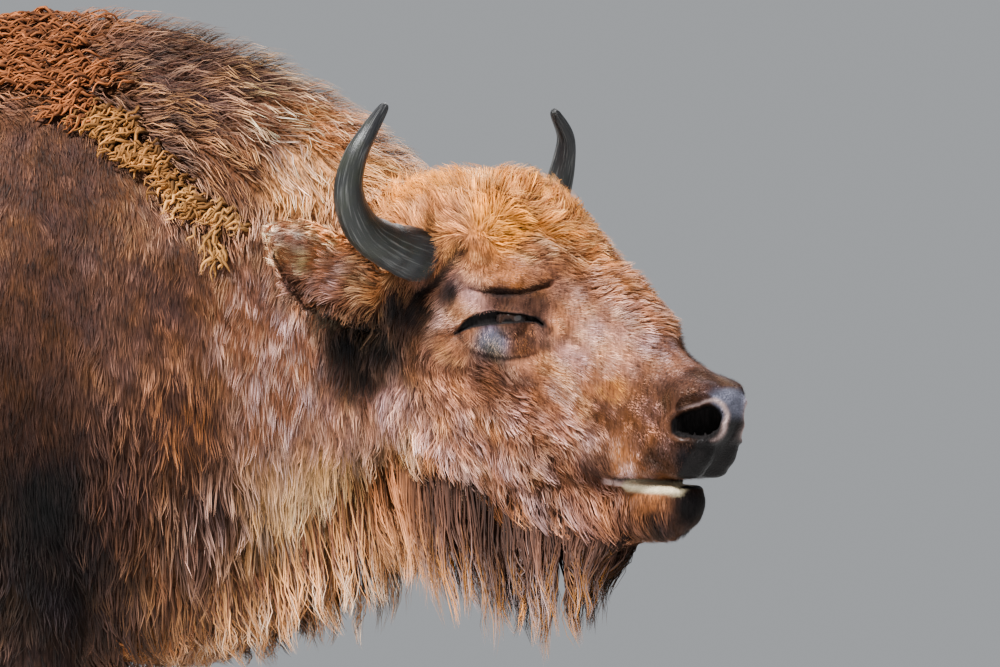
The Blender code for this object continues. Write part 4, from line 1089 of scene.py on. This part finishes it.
# The matted wool.
# Last winter's underwool, not yet shed: ropes of felted curls in rows over the hump and down
# the edge of the mane, lying on the coat.
WOOL_COLOURS = {"fox": (0.165, 0.048, 0.013), "ochre": (0.220, 0.088, 0.020),
                "straw": (0.300, 0.135, 0.036)}
# The place of a patch from the poll, how far it spreads, how many curls, which way they point
# in degrees, their length in millimetres, and their colour.
WOOL = [
    ((-0.98, 0.05, 0.39), 0.060, 60, 188, 56, "fox"), ((-0.93, 0.16, 0.31), 0.055, 55, 190, 56, "fox"),
    ((-0.85, 0.05, 0.39), 0.055, 70, 185, 56, "fox"), ((-0.83, 0.14, 0.33), 0.050, 70, 188, 56, "fox"),
    ((-0.76, 0.04, 0.38), 0.045, 90, 184, 52, "fox"), ((-0.75, 0.12, 0.32), 0.040, 90, 188, 52, "fox"),
    ((-0.67, 0.08, 0.35), 0.040, 90, 186, 50, "fox"), ((-0.66, 0.13, 0.29), 0.030, 80, 195, 46, "fox"),
    ((-0.59, 0.13, 0.29), 0.026, 60, 200, 42, "fox"), ((-0.61, 0.16, 0.24), 0.020, 56, 212, 42, "fox"),
    ((-0.56, 0.17, 0.22), 0.018, 46, 218, 40, "ochre"), ((-0.53, 0.18, 0.20), 0.016, 42, 222, 40, "ochre"),
    ((-0.51, 0.19, 0.17), 0.015, 36, 225, 38, "ochre"), ((-0.48, 0.19, 0.16), 0.015, 36, 215, 36, "ochre"),
    ((-0.45, 0.20, 0.13), 0.014, 34, 220, 36, "ochre"), ((-0.42, 0.21, 0.10), 0.013, 30, 225, 36, "straw"),
    ((-0.39, 0.21, 0.08), 0.013, 28, 215, 36, "ochre"), ((-0.35, 0.21, 0.07), 0.012, 24, 200, 36, "straw"),
    ((-0.31, 0.21, 0.05), 0.010, 18, 190, 36, "straw"), ((-0.37, 0.22, 0.04), 0.009, 16, 250, 44, "straw"),
    ((-0.35, 0.23, 0.02), 0.007, 10, 262, 46, "straw"),
]
wool_finish = hair_finish("matted_wool", 0.8, 0.0)


def hide_uv_at(points):
    """The unwrap's place nearest to each point."""
    found = [hide_tree.find_nearest(point)[2] for point in points.tolist()]
    return hide_uv[corner_loops[np.array(found)]].mean(1)


def wool_piece(name, side, seed):
    """The felted curls of one side."""
    random = np.random.default_rng(seed)
    spots, ways, lengths, colours = [], [], [], []
    for place, spread, number, angle, length, colour in WOOL:
        at = np.array(place) + POLL
        scatter = random.normal(0, 1, (number, 3)) * (spread, spread * 0.5, spread * 0.8)
        spots.append(turned((at + scatter) * (1, side, 1)))
        angles = np.radians(angle + random.normal(0, 16, number))
        ways.append(np.stack([np.cos(angles), np.zeros(number), np.sin(angles)], 1))
        lengths.append(length * 0.001 * random.uniform(0.7, 1.3, number))
        colours.append(np.tile(WOOL_COLOURS[colour], (number, 1)))
    spots, out = on_hide(np.concatenate(spots))
    flat = straightened(spots)
    ways = swung(np.concatenate(ways), flat[:, 0])
    length, colour = np.concatenate(lengths), np.concatenate(colours)
    number = len(spots)
    depth = coat_at(spots)["depth"] * random.uniform(0.65, 1.0, number)
    curl = random.uniform(0.0030, 0.0065, number)
    phase, turns = random.uniform(0, 2 * math.pi, number), random.uniform(0.8, 1.9, number)
    hand = np.where(random.random(number) < 0.5, -1.0, 1.0)
    path, normal = [], out
    rings = 7
    for step in range(rings + 1):
        along = step / rings
        way = unit(ways - normal * (ways * normal).sum(1)[:, None])
        across = np.cross(normal, way)
        spin = phase + along * 2 * math.pi * turns
        lean = np.sin(spin) * hand * curl * min(1, along * 4)
        rise = depth + 0.006 * math.sin(along * math.pi) + curl * np.cos(spin) * 0.7
        rise = rise * min(1.0, 0.25 + along * 3)
        path.append(spots + normal * rise[:, None] + across * lean[:, None])
        spots, normal = on_hide(spots + way * (length / rings)[:, None])
    paths = np.stack(path, 1)
    tone = np.exp(random.normal(0, 0.36, number))[:, None]
    uv = hide_uv_at(paths[:, 0])
    width = random.uniform(0.0045, 0.0095, number)
    made = tufts(name, paths, out, width, uv, colour * tone * 0.60, colour * tone * 1.30, random,
                 sides=4, blunt=0.22, flat=0.75, soften=0)
    made.data.materials.append(wool_finish)
    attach(made, "root")


wool_piece("wool_right", SIDES["right"], seed=71)
wool_piece("wool_left", SIDES["left"], seed=72)

# The beard and the throat's mane.
# Long hair that hangs by its weight from the jaw and the throat, in pointed locks with gaps
# between them.
# Rows give how far along, the height of the tips, half the curtain's thickness, and the height
# below which the hide grows it. The beard's are measured from the poll.
BEARD = np.array([
    (-0.190, -0.520, 0.060, -0.330), (-0.060, -0.600, 0.080, -0.270), (0.024, -0.640, 0.085, -0.310),
    (0.110, -0.665, 0.078, -0.355), (0.185, -0.650, 0.068, -0.365), (0.245, -0.610, 0.054, -0.375),
    (0.295, -0.560, 0.036, -0.375), (0.325, -0.470, 0.020, -0.375)])
BEARD[:, 0] += POLL[0]
BEARD[:, (1, 3)] += POLL[2]
THROAT_MANE = np.array([
    (0.680, 0.760, 0.080, 1.08), (0.780, 0.735, 0.105, 1.08), (0.880, 0.740, 0.115, 1.08),
    (0.970, 0.755, 0.105, 1.08), (1.060, 0.770, 0.090, 1.08), (1.120, 0.790, 0.080, 1.08),
    (1.180, 0.820, 0.070, 1.08)])


def curtain(name, replaced, rows, number, lean, colours, seed):
    """Hanging locks rooted on the hide above a curtain's outline.

    The first two colours are the locks' bodies, some of one and some of the other, and the last
    two are their tips."""
    random = np.random.default_rng(seed)
    near = flat_centres
    inside = (near[:, 0] > rows[0, 0]) & (near[:, 0] < rows[-1, 0])
    inside &= near[:, 2] < np.interp(near[:, 0], rows[:, 0], rows[:, 3])
    inside &= near[:, 1] < np.interp(near[:, 0], rows[:, 0], rows[:, 2]) + 0.03
    wanted = face_area * inside * step_up(0.75, -0.2, face_normals[:, 2])
    wanted = wanted / wanted.sum() * number
    count = np.floor(wanted + random.random(len(wanted))).astype(int)
    face = np.repeat(np.arange(len(wanted)), count)
    roots, out = centres[face] + random.normal(0, 0.002, (len(face), 3)), face_normals[face]
    uv = hide_uv[corner_loops[face]].mean(1)
    number = len(roots)
    flat = straightened(roots)
    along_body = flat[:, 0]
    bottom = np.interp(along_body, rows[:, 0], rows[:, 1])
    half = np.interp(along_body, rows[:, 0], rows[:, 2])
    share = (along_body - rows[0, 0]) / np.ptp(rows[:, 0])
    level = flat * (1, 1, 0)
    locks = waves(level, 0.05, seed) * 0.5 + waves(level, 0.018, seed + 1) * 0.5
    reach = np.clip(random.beta(5, 1.6, number) * (0.92 + 0.10 * locks), 0.25, 1.0)
    middle = np.clip(flat[:, 1], -half * 0.92, half * 0.92)
    rings = 7
    amount = random.uniform(0.006, 0.016, number)
    phase = math.pi * (waves(level, 0.07, seed + 2) + random.normal(0, 0.25, number))
    turns = random.uniform(1.1, 2.0, number)
    path = [roots - out * 0.004]
    outwards = swung(out, along_body, -1)
    for step in range(1, rings + 1):
        along = step / rings
        z = flat[:, 2] + (bottom - flat[:, 2]) * reach * along ** 1.08
        sway = amount * np.sin(along * 2 * math.pi * turns + phase) * along
        roll = amount * np.cos(along * 2 * math.pi * turns * 0.8 + phase) * along * 0.6
        puff = 0.010 * math.sin(min(along * 2.2, 1) * math.pi / 2) * (1 - along * 0.4)
        x = along_body + lean(share, along) + sway + outwards[:, 0] * puff
        w = flat[:, 1] + (middle - flat[:, 1]) * along ** 0.7 + roll + outwards[:, 1] * puff
        w *= 1 - 0.25 * along ** 2
        path.append(turned(np.stack([x, w, z], 1)))
    paths = np.stack(path, 1)
    own = drawn_together(paths, roots, random, share=0.05, pull=np.full(number, 0.72))
    tone = random.normal(0, 0.28, number) + random.normal(0, 0.38, number)[own]
    pale = (random.random(number) < 0.5)[:, None]
    rear = step_up(0.36, 0.10, share)[:, None]
    tone = np.exp(tone)[:, None]
    body = np.where(pale, COLOURS[colours[0]], COLOURS[colours[1]]) * tone
    body = body + (np.array(COLOURS["rust"]) * tone - body) * rear * 0.8
    tip = np.where(pale, COLOURS[colours[2]], COLOURS[colours[3]]) * tone
    tip = tip + (np.array(COLOURS["tan"]) * tone - tip) * rear * 0.7
    front = step_up(0.75, 1.0, share) * 0.6
    lit = unit(swung(np.stack([front, flat[:, 1] / half, np.full(number, 0.2)], 1), along_body))
    width = random.uniform(0.0018, 0.0040, number)
    made = tufts(name, paths, lit, width, uv, body, tip, random, pale_from=0.45)
    made.data.materials.append(long_finish)
    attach(made, "root")
    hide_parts(*replaced)


def beard_lean(share, along):
    """The beard's hair slants forward from the jaw, and its front edge slants back."""
    forward = 0.045 * np.maximum(1 - share, 0) ** 1.5
    return along ** 1.3 * (forward - 0.06 * step_up(0.7, 1.0, share))


def mane_lean(share, along):
    """The throat's hair hangs a little forward, as much at every share of the way."""
    return along * 0.015


long_finish = hair_finish("long_hair", 0.55, 0.05)
curtain("beard_hair", ["beard"], BEARD, number=2900, lean=beard_lean,
        colours=("umber", "umber", "amber", "ash"), seed=81)
curtain("mane_hair", ["throat_mane"], THROAT_MANE, number=2000, lean=mane_lean,
        colours=("russet", "tan", "blond", "tan"), seed=83)


# The tail's tuft.
# A long dark switch of hair at the end of the tail, grown in a bunch round the tail's tip and
# hanging to a ragged point.
def tail_tuft(number, seed):
    """The hair of the tail's end."""
    random = np.random.default_rng(seed)
    low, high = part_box("tail_tuft")
    middle = (np.array(low) + np.array(high)) / 2
    angle = random.uniform(0, 2 * math.pi, number)
    radius = np.sqrt(random.random(number))
    around = np.stack([np.cos(angle), np.sin(angle), np.zeros(number)], 1)
    top = high.z + random.uniform(-0.03, 0.03, number)
    reach = random.beta(5, 1.4, number)
    rings = 8
    amount = random.uniform(0.002, 0.007, number)
    phase, turns = random.uniform(0, 2 * math.pi, number), random.uniform(0.8, 1.8, number)
    path = []
    for step in range(rings + 1):
        along = step / rings
        bulge = 0.012 + 0.034 * math.sin(min(along * 1.5, 1) * math.pi) ** 0.8 + 0.006 * along
        spot = middle + around * (radius * bulge)[:, None]
        spot[:, 2] = top + (low.z - top) * reach * along
        spot[:, 0] += amount * np.sin(along * 2 * math.pi * turns + phase) * along
        spot[:, 1] += amount * np.cos(along * 2 * math.pi * turns + phase) * along
        path.append(spot)
    paths = np.stack(path, 1)
    own = drawn_together(paths, paths[:, 1].copy(), random, share=0.06, pull=np.full(number, 0.6))
    tone = random.normal(0, 0.2, number) + random.normal(0, 0.2, number)[own]
    body = np.array(COLOURS["black"]) * np.exp(tone)[:, None]
    tip = np.array(COLOURS["umber"]) * np.exp(tone)[:, None]
    width = random.uniform(0.0022, 0.0040, number)
    made = tufts("tail_tuft_hair", paths, around, width, hide_uv_at(paths[:, 0]), body, tip, random)
    made.data.materials.append(long_finish)
    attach(made, "root")
    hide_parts("tail_tuft")


tail_tuft(number=750, seed=91)

# The eyes.
# Wet dark balls set behind the lids, with a brown iris, a pupil that is wider than it is high,
# and a clear bulge in front.
BALL_TONE = np.array((0.012, 0.008, 0.007))
IRIS_TONE = np.array((0.012, 0.006, 0.004))
PUPIL_HALF = (0.0085, 0.0052)
IRIS_RADIUS = (0.0125, 0.0140)
eye_finish, start, shader = finish_of("eye_wet", 0.08, 0.4)
colour = start.node("ShaderNodeAttribute", {"attribute_name": "coat"})
place = start.node("ShaderNodeTexCoord", out=3)
fibres = start.node("ShaderNodeTexNoise", Vector=place, Scale=900.0, Detail=3.0)
shade = start.node("ShaderNodeMapRange", Value=fibres, i1=0.3, i2=0.7, i3=0.6, i4=1.5)
feed(shader, shaded(start, colour, shade), "Base Color")
for side_name, side in SIDES.items():
    ball = bmesh.new()
    bmesh.ops.create_uvsphere(ball, u_segments=48, v_segments=32, radius=EYEBALL)
    spots = np.array([vert.co for vert in ball.verts])
    facing = spots[:, 2] / EYEBALL
    swell = 1 + 0.05 * step_up(0.80, 0.97, facing)
    axes = EYE_AXES * (1, side, 1)
    centre = EYE + EYEBALL_UP * EYE_AXES[1] - EYEBALL_IN * EYE_AXES[2]
    placed = turned((spots * swell[:, None]) @ axes + centre * (1, side, 1))
    for vert, spot in zip(ball.verts, placed):
        vert.co = spot
    bmesh.ops.recalc_face_normals(ball, faces=ball.faces)
    mesh = bpy.data.meshes.new("eyeball_" + side_name)
    ball.to_mesh(mesh)
    ball.free()
    across, up = spots[:, 0], spots[:, 1]
    pupil = 1 - step_up(0.9, 1.1, np.hypot(across / PUPIL_HALF[0], up / PUPIL_HALF[1]))
    iris = (1 - step_up(*IRIS_RADIUS, np.hypot(across, up))) * (facing > 0)
    tones = BALL_TONE * (1 - iris[:, None]) + IRIS_TONE * iris[:, None]
    tones *= (1 - 0.9 * pupil * (facing > 0))[:, None]
    tint(mesh, "coat", tones)
    mesh.shade_smooth()
    mesh.materials.append(eye_finish)
    eyeball = linked("eyeball_" + side_name, mesh)
    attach(eyeball, "root")
    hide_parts("eye_" + side_name)

# The horns.
# Dark horn over bone, swept out, up and in to a polished point, with growth rings and fine
# splits near the root. Each is one tube along a curve, with its root inside the hide.
# Rows: ahead of the poll, out, up, and the radius.
HORN = np.array([
    (0.004, 0.120, -0.006, 0.0450), (-0.002, 0.160, 0.001, 0.0420), (-0.018, 0.225, 0.018, 0.0340),
    (-0.028, 0.275, 0.046, 0.0285), (-0.025, 0.311, 0.094, 0.0235), (-0.012, 0.315, 0.145, 0.0190),
    (0.003, 0.297, 0.188, 0.0140), (0.006, 0.262, 0.222, 0.0088), (0.006, 0.252, 0.229, 0.0045)])


def curve_through(rows, steps):
    """A smooth curve through rows of numbers."""
    padded = np.vstack([2 * rows[0] - rows[1], rows, 2 * rows[-1] - rows[-2]])
    made = []
    for at in np.linspace(0, len(rows) - 1 - 1e-9, steps):
        i, t = int(at), at - int(at)
        a, b, c, d = padded[i:i + 4]
        bend = 2 * a - 5 * b + 4 * c - d + t * (3 * (b - c) + d - a)
        made.append(b + 0.5 * t * (c - a + t * bend))
    return np.array(made)


horn_finish, start, shader = finish_of("horn", 0.34, 0.28)
along = start.node("ShaderNodeAttribute", {"attribute_name": "along"}, out=2)
place = start.node("ShaderNodeTexCoord", out=3)
drawn = start.node("ShaderNodeAttribute", {"attribute_name": "grain"}, out=1)
streaks = start.node("ShaderNodeTexNoise", Vector=drawn, Scale=1.0, Detail=5.0, Roughness=0.6)
clouds = start.node("ShaderNodeTexNoise", Vector=place, Scale=24.0, Detail=3.0)
tone = start.node("ShaderNodeValToRGB", {"stops": [
    (0.0, (0.020, 0.022, 0.026)), (0.35, (0.010, 0.012, 0.010)), (0.70, (0.012, 0.012, 0.013)),
    (1.0, (0.008, 0.008, 0.009))]}, Fac=along)
pale = start.node("ShaderNodeMapRange", Value=streaks, i1=0.52, i2=0.74, i3=0.0, i4=0.75)
horn_colour = mixed(start, pale, tone, (0.15, 0.15, 0.145, 1))
green = start.node("ShaderNodeMapRange", Value=clouds, i1=0.5, i2=0.7, i3=0.0, i4=0.35)
feed(shader, mixed(start, green, horn_colour, (0.018, 0.022, 0.006, 1)), "Base Color")
feed(shader, 0.24 + streaks * 0.40 - along * 0.08, "Roughness")
gritty = start.node("ShaderNodeTexNoise", Vector=place, Scale=420.0, Detail=4.0)
bump = start.node("ShaderNodeBump", Strength=0.6, Distance=0.0015,
                  Height=streaks + gritty * (0.9 - along * 0.8))
feed(shader, bump, "Normal")
HORN_SIDES = 40
HORN_RINGS = 110
HORN_GRAIN = 7
POINT_FROM = 0.97
for side_name, side in SIDES.items():
    rows = curve_through(HORN, HORN_RINGS)
    spine = turned((rows[:, :3] + POLL) * (1, side, 1))
    ahead = unit(np.gradient(spine, axis=0))
    across = unit(np.cross(ahead, np.array((1.0, 0.0, 0.0))[None]))
    up = np.cross(ahead, across)
    share = np.linspace(0, 1, HORN_RINGS)
    rounded = np.sqrt(np.maximum(1 - ((share - POINT_FROM) / 0.034) ** 2, 0.02))
    rows[:, 3] *= np.where(share > POINT_FROM, rounded, 1)
    ridges = 0.022 * np.sin(share * 95 + np.sin(share * 31)) * (1 - step_up(0.18, 0.55, share))
    turn = np.arange(HORN_SIDES) / HORN_SIDES * 2 * math.pi
    flutes = 1 + ridges[:, None] * (0.7 + 0.3 * np.sin(turn * 2 + 1)[None])
    flutes = flutes + 0.006 * np.sin(turn * 9)[None] * (1 - share)[:, None]
    ring = np.cos(turn)[None, :, None] * across[:, None] + np.sin(turn)[None, :, None] * up[:, None]
    spots = spine[:, None] + ring * (rows[:, 3:4] * flutes)[:, :, None]
    faces = []
    for row in range(HORN_RINGS - 1):
        for step in range(HORN_SIDES):
            a, b = row * HORN_SIDES + step, row * HORN_SIDES + (step + 1) % HORN_SIDES
            faces.append((a, b, b + HORN_SIDES, a + HORN_SIDES))
    faces.append(tuple(range(HORN_SIDES))[::-1])
    faces.append(tuple(range((HORN_RINGS - 1) * HORN_SIDES, HORN_RINGS * HORN_SIDES)))
    mesh = bpy.data.meshes.new("horn_sheath_" + side_name)
    mesh.from_pydata(spots.reshape(-1, 3).tolist(), [], faces)
    fixed = bmesh.new()
    fixed.from_mesh(mesh)
    bmesh.ops.recalc_face_normals(fixed, faces=fixed.faces)
    fixed.to_mesh(mesh)
    fixed.free()
    mesh.shade_smooth()
    layer = mesh.attributes.new("along", "FLOAT", "POINT")
    layer.data.foreach_set("value", np.repeat(share, HORN_SIDES))
    layer = mesh.attributes.new("grain", "FLOAT_VECTOR", "POINT")
    grain = np.stack([np.tile(np.cos(turn), HORN_RINGS), np.tile(np.sin(turn), HORN_RINGS),
                      np.repeat(share, HORN_SIDES)], 1)
    layer.data.foreach_set("vector", (grain * HORN_GRAIN).ravel())
    mesh.materials.append(horn_finish)
    horn = linked("horn_sheath_" + side_name, mesh)
    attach(horn, "root")
    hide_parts("horn_" + side_name)

# The hooves.
# Two claws and two dewclaws on each foot, of dark horn with growth rings. They are evened out
# from the solids, and their soles are flat on the ground.
HOOF_SWELL = 0.0005
HOOF_GRAIN = 0.0026
SOLE = 0.003
hoof_finish, start, shader = finish_of("hoof", 0.45, 0.4)
place = start.node("ShaderNodeTexCoord", out=3)
rings = start.node("ShaderNodeMapping", Vector=place, Scale=(20, 20, 260))
bands = start.node("ShaderNodeTexNoise", Vector=rings, Scale=1.0, Detail=3.0)
mud = start.node("ShaderNodeTexNoise", Vector=place, Scale=60.0, Detail=5.0)
tone = start.node("ShaderNodeValToRGB", {"stops": [
    (0.30, (0.012, 0.010, 0.009)), (0.55, (0.030, 0.024, 0.020)), (0.75, (0.075, 0.060, 0.048))]},
    Fac=bands * 0.6 + mud * 0.4)
feed(shader, tone, "Base Color")
feed(shader, 0.35 + mud * 0.4, "Roughness")
feed(shader, start.node("ShaderNodeBump", Strength=0.4, Distance=0.001, Height=bands), "Normal")
for end in ("front", "hind"):
    for side_name in SIDES:
        nodes = [f"{part}_{end}_{side_name}_{which}" for part in ("claw", "dewclaw")
                 for which in ("inner", "outer")]
        hoof = of_nodes(f"hoof_{end}_{side_name}", nodes, HOOF_SWELL)
        remeshed(hoof, HOOF_GRAIN)
        points = places(hoof.data)
        sole = points[:, 2] < SOLE
        points = smoothed(hoof.data, points, rounds=8)
        points[sole, 2] = np.maximum(points[sole, 2], 0.0)
        points[:, 2] = np.where(points[:, 2] < SOLE / 2, 0.0, points[:, 2])
        put(hoof.data, points)
        hoof.data.shade_smooth()
        hoof.data.materials.clear()
        hoof.data.materials.append(hoof_finish)
        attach(hoof, "root")
        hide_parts(*nodes)

# The floor and the studio light.
# A wide pale floor, a broad key from high on the camera's left, and weak fills.
FLOOR_REACH = 24.0
floor_mesh = bpy.data.meshes.new("floor")
floor_mesh.from_pydata(
    [(x * FLOOR_REACH, y * FLOOR_REACH, 0) for x, y in ((-1, -1), (1, -1), (1, 1), (-1, 1))], [],
    [(0, 1, 2, 3)])
floor = linked("floor", floor_mesh)
floor_finish, start, shader = finish_of("floor", 0.8, 0.2, Base_Color=(0.62, 0.62, 0.61, 1))
floor.data.materials.append(floor_finish)

world = bpy.data.worlds.new("studio")
world.use_nodes = True
sky = world.node_tree.nodes["Background"]
sky.inputs["Color"].default_value = (0.80, 0.83, 0.87, 1)
sky.inputs["Strength"].default_value = 0.48
bpy.context.scene.world = world

# Each lamp's direction in degrees from the camera's, height above the chest, distance, size in
# metres and power in watts.
centre = Vector((0.5, -0.1, 1.2))
for name, azimuth, height, away, size, power in (
        ("key", -34, 5.3, 4.0, 0.9, 2100), ("fill", 35, 1.6, 6.0, 4.0, 60),
        ("back", 165, 4.0, 5.0, 3.0, 200)):
    lamp_data = bpy.data.lights.new(name, "AREA")
    lamp_data.shape = "DISK"
    lamp_data.size = size
    lamp_data.energy = power
    lamp = linked(name, lamp_data)
    angle = math.radians(azimuth) + CAMERA_AZIMUTH
    lamp.location = centre + Vector((math.sin(angle) * away, -math.cos(angle) * away, height))
    lamp.rotation_euler = (centre - lamp.location).to_track_quat("-Z", "Y").to_euler()
